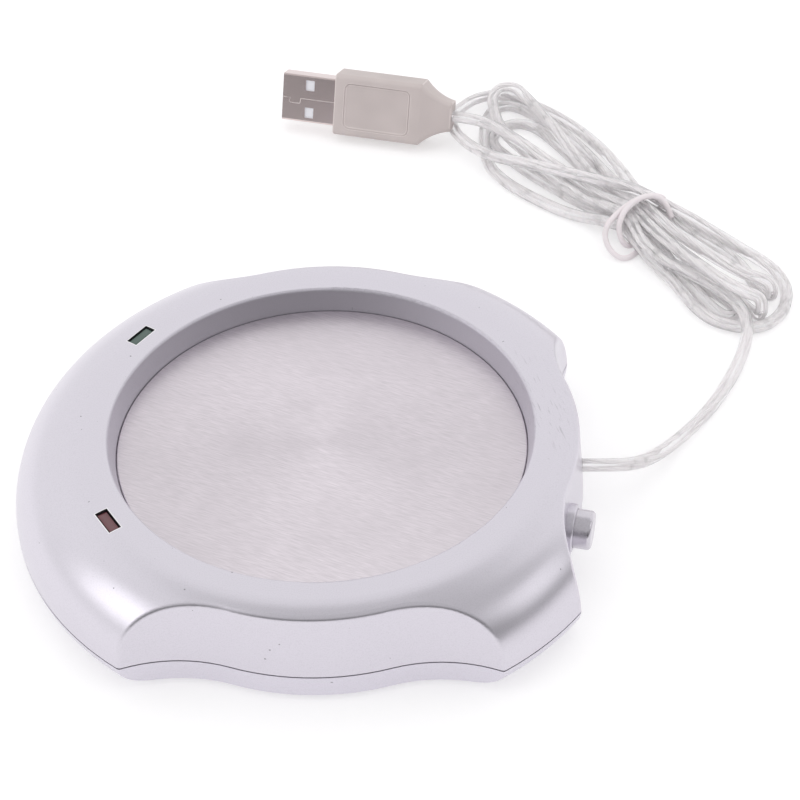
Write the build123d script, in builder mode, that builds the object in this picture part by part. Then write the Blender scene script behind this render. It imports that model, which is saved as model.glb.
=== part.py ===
from build123d import *
from math import atan2, cos, degrees, pi, radians, sin, sqrt, tan
import os

# Desk mug warmer with a USB cord: a low moulded case with three wavy walls, a brushed heating plate
# sunk in its top, two indicator windows, a latching push button and a clear cord in a tied hank.
# Millimetres. z = 0 is the table, the z axis is the axis of the plate, +X points to the cord.

os.makedirs("parts", exist_ok=True)

# ---------------------------------------------------------------- case
foot_height = 1.0  # how far the case stands off the table
parting_z = 6.7  # the line where the two case halves meet
rim_z = 22.0  # top of the ring round the plate
wall = 2.0  # thickness of both mouldings
parting_gap = 0.3  # shadow line between the halves
lip_height = 1.5  # tongue of the base that stands up inside the cover
lip_thickness = 0.9
lip_clearance = 0.1
wave_room = 0.3  # between the plate's centring rib and the inside of a wavy wall
wave_depth = 4.0  # how far the middle bulge of a wavy wall stands out from its hollows
wave_cut = 9.6  # how far the bulge lies inside the round plan
hollow_offset = 24.55  # sideways place of the hollow
hollow_radius = 29.6
hollow_end = 36.0  # degrees of the hollow's arc past its deepest point
upper_lean = 5.0  # draft of the wavy walls above the parting line, degrees
lower_lean = 2.0  # and below it
crease_fillet = 1.2  # between dome and wavy wall
tray_fillet = 0.9  # under edge of the base along the wavy walls
plan_reach = 80.0  # outside the case on every side
floor_rib_radius = 26.0
rib_thickness = 1.2
rib_height = 1.4
tab_clearance = 0.05

# ---------------------------------------------------------------- plate recess
recess_radius = 42.5  # opening at the rim
recess_depth = 5.0
recess_taper = 1.2  # the recess is this much narrower at its bottom, just round the plate
seat_lip = 1.2  # height of the recess wall that the plate's flange bears on
recess_wall = 2.0
rim_fillet = 0.7
plate_clearance = 0.15
plate_sheet = 0.8
plate_edge = 0.25
plate_flange = 4.2  # bearing of the plate's flange under the recess wall
centring_rib = 0.8
centring_clearance = 0.1

# ---------------------------------------------------------------- heater stack
mica_margin = 0.5  # inside the edge of the pad
mica_sheet = 0.3
ribbon_width = 1.6
ribbon_sheet = 0.3
ribbon_pitch = 5.2
ribbon_margin = 4.0
ribbon_rows = 12
pad_sheet = 1.5
pad_margin = 0.9  # inside the wall of the dish
clamp_sheet = 0.8
dish_clearance = 0.15  # inside the wall of the plate
clamp_ear_radius = 3.2
clamp_boss_radius = 2.4
clamp_boss_gap = 0.5  # outside the centring rib
clamp_boss_count = 3
clamp_first_angle = 60.0
clamp_bead_radius = 24.0
clamp_bead_width = 3.0
clamp_bead_depth = 0.5
heater_hole_radius = 1.0

# ---------------------------------------------------------------- screws
small_screw_radius = 0.95
small_head_radius = 1.8
small_head_height = 1.0
small_screw_length = 5.0
case_screw_radius = 1.25
case_head_radius = 2.3
case_head_height = 1.5
case_screw_length = 9.0
screw_clearance = 0.25
thread_clearance = 0.02
case_screw_inset = 9.3  # from the round part of the case
case_boss_radius = 3.1
tray_boss_radius = 3.8
counterbore_depth = 2.6
slot_width = 0.6
slot_depth = 0.5

# ---------------------------------------------------------------- feet
foot_inset = 11.0  # from the circle of the case screws
foot_radius = 5.0
foot_recess = 0.6
foot_clearance = 0.1
foot_fillet = 0.4

# ---------------------------------------------------------------- indicator windows
window_angle = 34.7  # each side of the -X axis
window_length = 2.5  # towards the rim
window_width = 5.9  # along the ring
window_clearance = 0.1
lens_sink = 0.5  # below the ring's surface
lens_flange = 0.8
lens_flange_height = 0.8
lens_overlap = 0.05  # of a window's flange with the edge of the plate's centring rib
lens_chamfer = 0.2
lamp_wall = 1.2
lamp_wall_foot = 14.6
led_radius = 1.5
led_flange_radius = 1.9
led_flange_height = 0.8
led_height = 4.6
led_gap = 0.3
led_pin = 0.5
led_pin_pitch = 2.54

# ---------------------------------------------------------------- circuit board
board_sheet = 1.2
board_width = 11.0
board_overhang = 4.0  # past each lamp
board_top = 8.4
board_post_radius = 2.6
board_post_spacing = 34.0
board_pin_below = 1.0
resistor_radius = 1.1
resistor_length = 6.2
resistor_pin_radius = 0.3
resistor_span = 10.0
resistor_offset = 8.0
resistor_stand = 0.2

# ---------------------------------------------------------------- push button and switch
button_turn = 12.0  # degrees from +X towards -Y, square to the hollow it sits in
button_z = 11.6
button_radius = 3.9
button_clearance = 0.1
button_proud = 3.5
button_fillet = 0.8
button_travel = 2.6
button_lip = 0.5
button_lip_height = 0.8
collar_radius = 4.75
collar_height = 1.3
collar_fillet = 0.3
guide_depth = 3.0  # from the wall's outer face to the inner end of the bore
guide_space = 0.3
switch_drop = 1.9  # switch axis below the button axis
switch_size = 5.8
switch_length = 9.0
switch_front = 0.8
switch_cavity = 3.5
switch_cavity_depth = 6.8
switch_gap = 0.4
plunger_size = 2.2
plunger_clearance = 0.08
plunger_socket = 2.5
plunger_collar = 3.2
plunger_collar_height = 0.8
plunger_tail_radius = 0.8
plunger_tail = 2.4
spring_radius = 1.3
spring_wire = 0.18
spring_turns = 5
spring_end_gap = 0.3
terminal_size = (0.5, 1.4, 3.2)
terminal_spacing = 3.4
cradle_wall = 1.2
cradle_length = 7.0
cradle_clearance = 0.1
cradle_cheek = 2.4

# ---------------------------------------------------------------- cord, clamp and inner leads
cord_radius = 1.4
cord_y = 1.0
cord_z = 9.8
cord_slot_clearance = 0.1
cord_start_inset = 0.3  # where the outer cord begins, inside the bulge of the wall
cord_end_length = 6.0  # of the jacket, behind the clamp
anchor_inset = 8.2  # from the bulge of the wall to the clamp
anchor_length = 4.6
anchor_width = 13.0
anchor_gap = 0.3
anchor_bar_height = 2.0
anchor_screw_offset = 4.3
anchor_fillet = 0.5
lead_radius = 0.55
core_offset = 0.7  # conductor in the cord, off the cord's centre line
lead_approach = 4.5  # straight end of a lead behind its terminal
lead_end_inset = 2.5  # from the middle of the board
lead_board_gap = 4.1  # from a lead's end to where it meets the board
# Middle points of the inner leads, on the floor of the case round the clamp dish.
positive_lead_points = [
    (33.5, 0.3, 9.8),
    (28.0, -3.2, 9.8),
]
positive_lead_turn = (25.2, -8.0)  # in front of the switch, at its terminals' height
negative_lead_points = [
    (33.0, 1.7, 9.8),
    (24.0, 5.4, 8.8),
    (12.0, 8.0, 7.6),
    (-4.0, 9.6, 7.0),
    (-18.0, 8.2, 7.2),
    (-27.5, 4.6, 8.2),
]
switched_lead_points = [
    (18.0, -13.6, 8.6),
    (6.0, -11.8, 7.4),
    (-9.0, -10.4, 7.0),
    (-22.0, -7.2, 7.6),
    (-28.5, -4.2, 8.4),
]
supply_lead_sides = (2.9, 2.4)  # off the middle of the board: where a lead meets it, and at its end
switched_lead_sides = (-2.8, -2.4)
heater_lead_drop = 12.2  # height at which a heater lead turns outwards
heater_lead_points = [
    (-20.0, 27.6, 10.0),
    (-23.6, 25.4, 8.9),
]
heater_lead_meets = (-29.0, 23.0)
heater_lead_side = 21.6
# Centre line of the cord from the case to the hank, as it lies on the table.
cord_points = [
    (57.0, cord_y, cord_z),
    (62.0, 3.0, 8.0),
    (66.0, 6.8, 5.6),
    (70.0, 12.0, 3.2),
    (75.0, 18.5, 1.8),
    (80.5, 25.8, 1.45),
    (85.0, 33.6, 1.45),
    (88.8, 41.6, 1.6),
    (91.3, 48.6, 3.0),
    (92.3, 54.0, 4.2),
]
# Centre line from behind the plug over the hank to the tie.
tail_points = [
    (36.2, 123.6, 8.0),
    (42.0, 118.2, 7.2),
    (48.2, 112.6, 5.9),
    (54.0, 107.8, 4.6),
]
# The hank: its axis runs from the plug's end to the cord's end, through the tie.
tail_first_run = 5.0  # straight out of the plug
tie_point = (68.2, 91.0)
hank_turn = -42.6
# Along the axis, middle across it, half width, height and lift off the table.
hank_sections = [
    (-62.8, 11.5, 6.5, 3.6, 0.25),
    (-59.0, 11.0, 11.9, 5.6, 0.25),
    (-48.0, 9.4, 15.2, 8.0, 0.25),
    (-36.0, 8.3, 15.8, 8.2, 0.25),
    (-21.0, 5.9, 14.0, 8.4, 0.25),
    (-9.0, 3.7, 10.0, 8.0, 0.9),
    (0.0, 2.3, 7.5, 6.4, 2.15),
    (9.0, 1.0, 9.2, 7.8, 0.7),
    (21.0, -0.1, 11.6, 8.4, 0.25),
    (32.0, -1.9, 13.5, 8.4, 0.25),
    (41.5, -3.2, 11.0, 8.0, 0.25),
    (46.8, -3.8, 6.4, 5.0, 0.25),
]
tie_radius = 0.7
tie_clearance = 0.6
tie_across = 2.3
tie_places = (-1.0, 1.0)
tie_tilt = 9.0
tie_tail_length = 5.5
tie_end_radius = 1.0
tie_end_lean = 35.0

# ---------------------------------------------------------------- plug
plug_front = (-3.2, 134.1, 8.4)  # middle of the grip's front face
plug_axis = (-0.9735, 0.2287, 0.0)  # towards the contacts
plug_lean = 20.3  # degrees that the wide face looks up; the plug stands on a narrow side
shell_length = 13.8
shell_width = 12.0
shell_height = 4.5
shell_sheet = 0.3
shell_corner = 0.5
shell_inset = 3.0
shell_fit = 0.02
latch_length = 2.3
latch_width = 2.7
latch_from_tip = 7.0
latch_offset = 3.5
tongue_sheet = 1.85
tongue_width = 11.1
tongue_short = 1.6
contact_width = 1.1
contact_sheet = 0.2
contact_length = 8.6
contact_step = 1.0  # the two middle contacts are shorter
contact_from_tip = 0.6
contact_spacing = (-3.5, -1.0, 1.0, 3.5)
grip_width = 15.5
grip_height = 8.0
grip_length = 22.0
# Distance behind the grip's end, width and height of the tapered tail.
grip_taper_sections = [
    (0.0, 15.5, 8.0),
    (2.6, 11.2, 6.7),
    (5.2, 8.6, 5.7),
    (7.8, 7.2, 5.2),
]
grip_fillet = 1.1
panel_size = (16.5, 11.2)
panel_depth = 0.35
panel_corner = 1.4
panel_middle = 11.0

# ---------------------------------------------------------------- worked out from the sizes above
seat_opening = recess_radius - recess_taper
plate_radius = seat_opening - plate_clearance
plate_flange_radius = seat_opening + plate_flange
rib_inner = plate_flange_radius + centring_clearance
wave_hollow = rib_inner + centring_rib + wall + wave_room
wave_crest = wave_hollow + wave_depth
case_radius = wave_crest + wave_cut
case_screw_circle = case_radius - case_screw_inset
foot_circle = case_screw_circle - foot_inset
clamp_bolt_circle = rib_inner + centring_rib + clamp_boss_gap + clamp_boss_radius
clamp_dish_radius = plate_radius - plate_sheet - dish_clearance
pad_radius = clamp_dish_radius - clamp_sheet - pad_margin
mica_radius = pad_radius - mica_margin
window_radius = rib_inner + lens_flange + window_length / 2 - lens_overlap
anchor_x = wave_crest - anchor_inset
cord_inner_end_x = anchor_x - cord_end_length
dome_radius = rim_z - parting_z
dome_middle = case_radius - dome_radius
tray_radius = parting_z - foot_height
floor_z = foot_height + wall
tray_head = parting_z - parting_gap / 2
ceiling_z = rim_z - wall
radii_sum = (hollow_offset**2 + wave_depth**2) / (2 * wave_depth)
bulge_radius = radii_sum - hollow_radius
swing = degrees(atan2(hollow_offset, radii_sum - wave_depth))
bulge_x = wave_crest - bulge_radius
hollow_x = bulge_x + radii_sum * cos(radians(swing))
plate_top = rim_z - recess_depth
seat_z = plate_top - seat_lip
flange_foot = seat_z - plate_sheet
heater_top = plate_top - plate_sheet
ribbon_top = heater_top - mica_sheet
lower_mica_top = ribbon_top - ribbon_sheet
pad_top = lower_mica_top - mica_sheet
dish_top = pad_top - pad_sheet
ear_z = flange_foot - clamp_sheet
cord_route = [(wave_crest - cord_start_inset, cord_y, cord_z), *cord_points]


def lean_in(lean, height):
    """How far a leaning wall has moved in at a height above or below the parting line."""
    return tan(radians(lean)) * abs(height - parting_z)


def wavy_ground(inset):
    """The ground outside the wavy wall on the +X side, with the wall moved in by inset."""
    with BuildSketch() as ground:
        with BuildLine():
            CenterArc((bulge_x, 0), bulge_radius - inset, -swing, 2 * swing)
            turn = swing + hollow_end
            left = CenterArc((hollow_x, hollow_offset), hollow_radius + inset, 180 + swing, -turn)
            right = CenterArc((hollow_x, -hollow_offset), hollow_radius + inset, 180 - swing, turn)
            far_left = (plan_reach, (left @ 1).Y)
            far_right = (plan_reach, (right @ 1).Y)
            Polyline(left @ 1, far_left, far_right, right @ 1)
        make_face()
    return ground.sketch


def three_sides(cut):
    """A solid made on the +X side, repeated on the front, the right and the back."""
    with BuildPart() as sides:
        with PolarLocations(0, 3, start_angle=-90, angular_range=180, endpoint=True):
            add(cut)
    return sides.part


def wavy_walls(inset, low, high, lean):
    """What the three wavy walls cut away between two heights."""
    with BuildPart() as cut:
        for level in (low, high):
            with BuildSketch(Plane.XY.offset(level)):
                add(wavy_ground(inset + lean_in(lean, level)))
        loft(ruled=True)
    return three_sides(cut.part)


def plan_prism(inset, low, high):
    """An upright solid on the plan of the parting line, moved in by inset."""
    with BuildPart() as ground:
        with BuildSketch(Plane.XY.offset(low)):
            add(wavy_ground(inset))
        extrude(amount=high - low)
    with BuildPart() as prism:
        with BuildSketch(Plane.XY.offset(low)):
            Circle(case_radius - inset)
        extrude(amount=high - low)
        add(three_sides(ground.part), mode=Mode.SUBTRACT)
    return prism.part


def dome_form(inset):
    """The cover's outer form, moved in by inset: a quarter-round dome cut by the wavy walls."""
    with BuildPart() as form:
        with BuildSketch(Plane.XZ):
            with BuildLine():
                Line((0, parting_z), (-case_radius + inset, parting_z))
                CenterArc((-dome_middle, parting_z), dome_radius - inset, 180, -90)
                Polyline((-dome_middle, rim_z - inset), (0, rim_z - inset), (0, parting_z))
            make_face()
        revolve(axis=Axis.Z)
        add(wavy_walls(inset, parting_z, rim_z + wall, upper_lean), mode=Mode.SUBTRACT)
    return form.part


def tray_form(inset):
    """The base's outer form, moved in by inset: a flat floor with a round edge and wavy walls."""
    with BuildPart() as form:
        with BuildSketch(Plane.XZ):
            with BuildLine():
                Line((0, parting_z), (-case_radius + inset, parting_z))
                CenterArc((-case_radius + tray_radius, parting_z), tray_radius - inset, 180, 90)
                Polyline(
                    (-case_radius + tray_radius, foot_height + inset),
                    (0, foot_height + inset),
                    (0, parting_z),
                )
            make_face()
        revolve(axis=Axis.Z)
        add(wavy_walls(inset, foot_height - wall, parting_z, lower_lean), mode=Mode.SUBTRACT)
    return form.part


def is_crease(edge):
    """True for the edges where the dome or the round floor edge runs out into a wavy wall."""
    return edge.geom_type == GeomType.BSPLINE


def is_collar_rim(edge):
    """True for a full circle of the collar round the push button."""
    return abs(edge.radius - collar_radius) < 1e-6


def is_long_edge(edge):
    """True for the edges that run along the plug's grip and its tapered tail."""
    return abs((edge % 0.5).dot(plug_right)) > 0.5


def pan_screw(spot, head_radius, head_height, shaft_radius, length):
    """A cross-head screw whose head rests on the spot and whose shaft runs along the spot's +Z."""
    with BuildPart() as screw:
        with BuildSketch(spot.offset(-head_height)):
            Circle(head_radius)
        extrude(amount=head_height)
        fillet(screw.edges().group_by(Axis(spot.origin, spot.z_dir))[0], radius=head_height / 2)
        with BuildSketch(spot):
            Circle(shaft_radius)
        extrude(amount=length)
        with BuildSketch(spot.offset(-head_height)):
            Rectangle(2 * slot_width + shaft_radius, slot_width)
            Rectangle(slot_width, 2 * slot_width + shaft_radius)
        extrude(amount=slot_depth, mode=Mode.SUBTRACT)
    return screw.part


def swept_lead(points, radius):
    """An insulated lead or cord: a round section along straight runs joined by tangent arcs."""
    with BuildPart() as lead:
        with BuildLine() as route:
            FilletPolyline(*points, radius=corner_radii(points))
        with BuildSketch(Plane(origin=route.line @ 0, z_dir=route.line % 0)):
            Circle(radius)
        sweep(path=route.line)
    return lead.part


def corner_radii(points):
    """The largest arc that each corner's two runs leave room for."""
    radii = []
    for before, here, after in zip(points, points[1:], points[2:]):
        run_in = Vector(*here) - Vector(*before)
        run_out = Vector(*after) - Vector(*here)
        shorter = min(run_in.length, run_out.length)
        radii.append(0.45 * shorter / tan(radians(run_in.get_angle(run_out)) / 2))
    return radii


# ---------------------------------------------------------------- places worked out from the sizes
lamp_planes = [
    Plane(
        origin=(window_radius * cos(radians(angle)), window_radius * sin(radians(angle)), 0),
        x_dir=(cos(radians(angle)), sin(radians(angle)), 0),
        z_dir=(0, 0, 1),
    )
    for angle in (180 + window_angle, 180 - window_angle)
]
button_lean = lean_in(upper_lean, button_z)
button_normal = Vector(cos(radians(button_turn)), -sin(radians(button_turn)), 0)
hollow_middle = Vector(hollow_x, -hollow_offset, button_z)
button_foot = hollow_middle - button_normal * (hollow_radius + button_lean)
button_plane = Plane(
    origin=button_foot,
    x_dir=(sin(radians(button_turn)), cos(radians(button_turn)), 0),
    z_dir=button_normal,
)
switch_plane = Plane(
    origin=button_foot - Vector(0, 0, switch_drop),
    x_dir=(sin(radians(button_turn)), cos(radians(button_turn)), 0),
    z_dir=button_normal,
)
button_inner = -guide_depth - button_lip_height
button_tip = collar_height + button_proud
switch_face = button_inner - button_travel - switch_gap
cavity_head = switch_face - switch_front
cavity_foot = cavity_head - switch_cavity_depth
plunger_tip = button_inner + plunger_socket
terminal_tip = switch_face - switch_length - terminal_size[2]
switch_bottom_z = button_z - switch_drop - switch_size / 2
case_screw_spots = PolarLocations(case_screw_circle, 4, start_angle=45)
foot_spots = PolarLocations(foot_circle, 4, start_angle=45)
clamp_spots = PolarLocations(clamp_bolt_circle, clamp_boss_count, start_angle=clamp_first_angle)
board_x = -window_radius * cos(radians(window_angle))
lamp_y = window_radius * sin(radians(window_angle))
board_length = 2 * (lamp_y + board_overhang)
board_under = board_top - board_sheet
board_posts = GridLocations(0, board_post_spacing, 1, 2)
anchor_screw_spots = Locations(
    (anchor_x, cord_y - anchor_screw_offset),
    (anchor_x, cord_y + anchor_screw_offset),
)
tab_height = cord_z - cord_radius - tab_clearance - tray_head
tab_inset = lean_in(upper_lean, cord_z)
cradle_middle = button_foot + button_normal * (switch_face - switch_length / 2)
cradle_plane = Plane(
    origin=(cradle_middle.X, cradle_middle.Y, floor_z),
    x_dir=button_normal,
    z_dir=(0, 0, 1),
)
lead_on_board_z = board_top + lead_radius + thread_clearance
terminal_z = button_z - switch_drop
terminal_ends = [
    tuple(switch_plane.from_local_coords((side * terminal_spacing / 2, 0, terminal_tip)))
    for side in (-1, 1)
]
terminal_approach = [
    tuple(switch_plane.from_local_coords((side * terminal_spacing / 2, 0, terminal_tip - lead_approach)))
    for side in (-1, 1)
]
lead_end_x = board_x + lead_end_inset
ribbon_reach = mica_radius - ribbon_margin
ribbon_row_y = [(row - (ribbon_rows - 1) / 2) * ribbon_pitch for row in range(ribbon_rows)]
ribbon_chord = [sqrt(ribbon_reach**2 - y**2) for y in ribbon_row_y]
ribbon_turns = [-ribbon_chord[0]]
for row in range(ribbon_rows - 1):
    side = 1 if row % 2 == 0 else -1
    ribbon_turns.append(side * min(ribbon_chord[row], ribbon_chord[row + 1]))
ribbon_turns.append(-ribbon_chord[-1])
heater_lead_spots = Locations(
    (ribbon_turns[0], ribbon_row_y[0]),
    (ribbon_turns[-1], ribbon_row_y[-1]),
)

hank_along = Vector(cos(radians(hank_turn)), sin(radians(hank_turn)), 0)
hank_across = Vector(-sin(radians(hank_turn)), cos(radians(hank_turn)), 0)
tie_section = [section for section in hank_sections if section[0] == 0.0][0]
tie_half_width = tie_section[2] + tie_clearance + tie_radius
tie_half_height = tie_section[3] / 2 + tie_clearance + tie_radius
tie_middle_z = tie_section[4] + tie_section[3] / 2


def hank_place(along, across, height):
    """A plane square to the hank's axis, x across it and y up."""
    middle = Vector(*tie_point) + hank_along * along + hank_across * across + Vector(0, 0, height)
    return Plane(origin=middle, x_dir=hank_across, z_dir=hank_along * -1)


# The twisted end leaves the top of the ring and leans over towards the cord's end of the hank.
tie_end_plane = Plane(
    origin=hank_place(tie_places[1], tie_across, tie_middle_z + tie_half_height).origin,
    x_dir=hank_across,
    z_dir=hank_along * cos(radians(tie_end_lean)) + Vector(0, 0, sin(radians(tie_end_lean))),
)

plug_right = Vector(*plug_axis).normalized()
plug_level = Vector(-plug_right.Y, plug_right.X, 0)
plug_up = plug_level * cos(radians(plug_lean)) + Vector(0, 0, sin(radians(plug_lean)))
plug_plane = Plane(origin=plug_front, x_dir=plug_right, z_dir=plug_up)
plug_plane_under = Plane(origin=plug_front, x_dir=plug_right, z_dir=plug_up * -1)
plug_section = Plane(origin=plug_front, x_dir=plug_plane.y_dir, z_dir=plug_right)
plug_length = grip_length + grip_taper_sections[-1][0]
tail_route = [
    tuple(Vector(*plug_front) - plug_right * plug_length),
    tuple(Vector(*plug_front) - plug_right * (plug_length + tail_first_run)),
    *tail_points,
]

lamp_pocket = (window_length + 2 * lens_flange, window_width + 2 * lens_flange)
lamp_block = (lamp_pocket[0] + 2 * lamp_wall, lamp_pocket[1] + 2 * lamp_wall)
window_z = rim_z - lens_sink
pocket_ceiling = rim_z - wall
led_foot = pocket_ceiling - lens_flange_height - led_gap - led_height
resistor_z = board_top + resistor_stand + resistor_radius

# ---------------------------------------------------------------- top cover
# Bosses, ribs and lamp shrouds inside the cover, trimmed to end within the thickness of the dome.
with BuildPart() as cover_ribs:
    with BuildSketch(Plane.XY.offset(flange_foot)):
        Circle(rib_inner + centring_rib)
        Circle(rib_inner, mode=Mode.SUBTRACT)
    extrude(amount=rim_z - flange_foot)
    with BuildSketch(Plane.XY.offset(parting_z)):
        with case_screw_spots:
            Circle(case_boss_radius)
    extrude(amount=dome_radius)
    with BuildSketch(Plane.XY.offset(flange_foot)):
        with clamp_spots:
            Circle(clamp_boss_radius)
    extrude(amount=rim_z - flange_foot)
    for lamp in lamp_planes:
        with BuildSketch(lamp.offset(lamp_wall_foot)):
            Rectangle(*lamp_block)
        extrude(amount=rim_z - lamp_wall_foot)
    with BuildSketch(Plane.XY.offset(lamp_wall_foot)):
        Circle(rib_inner)
    extrude(amount=seat_z - lamp_wall_foot, mode=Mode.SUBTRACT)
    with BuildSketch(button_plane.offset(-guide_depth)):
        Circle(collar_radius)
    extrude(amount=guide_depth)
    add(dome_form(wall / 2), mode=Mode.INTERSECT)

with BuildPart() as top_cover:
    add(dome_form(0))
    fillet(top_cover.edges().filter_by(is_crease), radius=crease_fillet)
    add(dome_form(wall), mode=Mode.SUBTRACT)
    # shadow line, and the rebate that the tongue of the base fits
    with BuildSketch(Plane.XY.offset(parting_z)):
        Circle(case_radius)
    extrude(amount=parting_gap / 2, mode=Mode.SUBTRACT)
    rebate_inset = wall - lip_thickness - lip_clearance
    rebate_head = tray_head + lip_height + parting_gap
    add(plan_prism(rebate_inset, parting_z, rebate_head), mode=Mode.SUBTRACT)
    add(cover_ribs.part)
    # recess wall, from the rim down to the flange of the plate
    with BuildSketch(Plane.XZ):
        with BuildLine():
            Polyline(
                (0, seat_z),
                (seat_opening + recess_wall, seat_z),
                (recess_radius + recess_wall, ceiling_z),
                (recess_radius + recess_wall, rim_z),
                (0, rim_z),
                close=True,
            )
        make_face()
    revolve(axis=Axis.Z)
    with BuildSketch(Plane.XZ):
        with BuildLine():
            Polyline(
                (0, seat_z),
                (seat_opening, seat_z),
                (seat_opening, plate_top),
                (recess_radius, rim_z),
                (0, rim_z),
                close=True,
            )
        make_face()
    revolve(axis=Axis.Z, mode=Mode.SUBTRACT)
    top_circles = top_cover.edges().filter_by(GeomType.CIRCLE).filter_by_position(Axis.Z, rim_z, rim_z)
    fillet(top_circles.sort_by(SortBy.RADIUS)[0], radius=rim_fillet)
    # lamp pockets and the windows over them
    for lamp in lamp_planes:
        with BuildSketch(lamp.offset(lamp_wall_foot)):
            Rectangle(*lamp_pocket)
        extrude(amount=pocket_ceiling - lamp_wall_foot, mode=Mode.SUBTRACT)
        with BuildSketch(lamp.offset(pocket_ceiling)):
            Rectangle(window_length, window_width)
        extrude(amount=wall, mode=Mode.SUBTRACT)
    # pilot holes for the case screws and the clamp screws
    with BuildSketch(Plane.XY.offset(parting_z)):
        with case_screw_spots:
            Circle(case_screw_radius + thread_clearance)
    extrude(amount=case_screw_length, mode=Mode.SUBTRACT)
    with BuildSketch(Plane.XY.offset(flange_foot)):
        with clamp_spots:
            Circle(small_screw_radius + thread_clearance)
    extrude(amount=small_screw_length, mode=Mode.SUBTRACT)
    # collar and bore of the push button, with room for the button's inner lip
    with BuildSketch(button_plane.offset(-wall / 2)):
        Circle(collar_radius)
    extrude(amount=collar_height + wall / 2)
    collar_rims = top_cover.edges().filter_by(GeomType.CIRCLE).filter_by(is_collar_rim)
    fillet(collar_rims.sort_by(Axis.X)[-1], radius=collar_fillet)
    with BuildSketch(button_plane.offset(-guide_depth)):
        Circle(button_radius + button_clearance)
    extrude(amount=guide_depth + collar_height, mode=Mode.SUBTRACT)
    with BuildSketch(button_plane.offset(-guide_depth)):
        Circle(button_radius + button_lip + guide_space)
    extrude(amount=-(button_lip_height + button_travel + guide_space), mode=Mode.SUBTRACT)
    # slot for the cord, open at the parting line
    slot_radius = cord_radius + cord_slot_clearance
    with BuildSketch(Plane.YZ.offset(wave_hollow)):
        with Locations((cord_y, cord_z)):
            Circle(slot_radius)
        with Locations((cord_y, parting_z)):
            Rectangle(2 * slot_radius, cord_z - parting_z, align=(Align.CENTER, Align.MIN))
    extrude(amount=wave_crest - wave_hollow + wall, mode=Mode.SUBTRACT)
top_cover.part.label = "top_cover"
export_step(top_cover.part, "parts/top_cover.step")

# ---------------------------------------------------------------- base cover
with BuildPart() as tongue:
    add(plan_prism(wall - lip_thickness, tray_head - lip_height / 2, tray_head + lip_height))
    add(plan_prism(wall, tray_head - lip_height / 2, tray_head + lip_height), mode=Mode.SUBTRACT)
    with BuildSketch(button_plane):
        Circle(collar_radius + guide_space)
    extrude(amount=-guide_depth - button_travel, mode=Mode.SUBTRACT)

with BuildPart() as base_cover:
    add(tray_form(0))
    fillet(base_cover.edges().filter_by(is_crease), radius=tray_fillet)
    add(tray_form(wall), mode=Mode.SUBTRACT)
    with BuildSketch(Plane.XY.offset(tray_head)):
        Circle(case_radius)
    extrude(amount=parting_gap, mode=Mode.SUBTRACT)
    add(tongue.part)
    # tab that fills the cord slot of the cover up to the cord
    with BuildSketch(Plane.YZ.offset(wave_crest - wall)):
        with Locations((cord_y, tray_head)):
            Rectangle(2 * cord_radius, tab_height, align=(Align.CENTER, Align.MIN))
    extrude(amount=wall - tab_inset)
    # stiffening ribs on the floor
    with BuildSketch(Plane.XY.offset(floor_z)):
        Circle(floor_rib_radius + rib_thickness / 2)
        Circle(floor_rib_radius - rib_thickness / 2, mode=Mode.SUBTRACT)
        with PolarLocations((floor_rib_radius + case_screw_circle) / 2, 4, start_angle=45):
            Rectangle(case_screw_circle - floor_rib_radius, rib_thickness)
    extrude(amount=rib_height)
    # screw bosses, board posts, switch cradle and cord saddle
    with BuildSketch(Plane.XY.offset(floor_z)):
        with case_screw_spots:
            Circle(tray_boss_radius)
    extrude(amount=parting_z - floor_z)
    with BuildSketch(Plane.XY.offset(floor_z)):
        with Locations((board_x, 0)):
            with board_posts:
                Circle(board_post_radius)
    extrude(amount=board_under - floor_z)
    with BuildSketch(cradle_plane):
        Rectangle(cradle_length, switch_size + 2 * (cradle_clearance + cradle_wall))
    extrude(amount=switch_bottom_z + cradle_cheek - floor_z)
    with BuildSketch(cradle_plane.offset(switch_bottom_z - floor_z)):
        Rectangle(cradle_length, switch_size + 2 * cradle_clearance)
    extrude(amount=cradle_cheek, mode=Mode.SUBTRACT)
    with BuildSketch(Plane.XY.offset(floor_z)):
        with Locations((anchor_x, cord_y)):
            Rectangle(anchor_length, anchor_width)
    extrude(amount=cord_z - anchor_gap / 2 - floor_z)
    with BuildSketch(Plane.YZ.offset(anchor_x - anchor_length / 2)):
        with Locations((cord_y, cord_z)):
            Circle(cord_radius + thread_clearance)
    extrude(amount=anchor_length, mode=Mode.SUBTRACT)
    # holes for the case screws, with their counterbores, and pilot holes for the small screws
    with BuildSketch(Plane.XY.offset(foot_height)):
        with case_screw_spots:
            Circle(case_screw_radius + screw_clearance)
    extrude(amount=parting_z - foot_height, mode=Mode.SUBTRACT)
    with BuildSketch(Plane.XY.offset(foot_height)):
        with case_screw_spots:
            Circle(case_head_radius + screw_clearance)
    extrude(amount=counterbore_depth, mode=Mode.SUBTRACT)
    with BuildSketch(Plane.XY.offset(board_under)):
        with Locations((board_x, 0)):
            with board_posts:
                Circle(small_screw_radius + thread_clearance)
    extrude(amount=board_sheet - small_screw_length, mode=Mode.SUBTRACT)
    with BuildSketch(Plane.XY.offset(cord_z)):
        with anchor_screw_spots:
            Circle(small_screw_radius + thread_clearance)
    extrude(amount=-small_screw_length, mode=Mode.SUBTRACT)
    # recesses for the feet
    with BuildSketch(Plane.XY.offset(foot_height)):
        with foot_spots:
            Circle(foot_radius + foot_clearance)
    extrude(amount=foot_recess, mode=Mode.SUBTRACT)
base_cover.part.label = "base_cover"
export_step(base_cover.part, "parts/base_cover.step")

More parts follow.
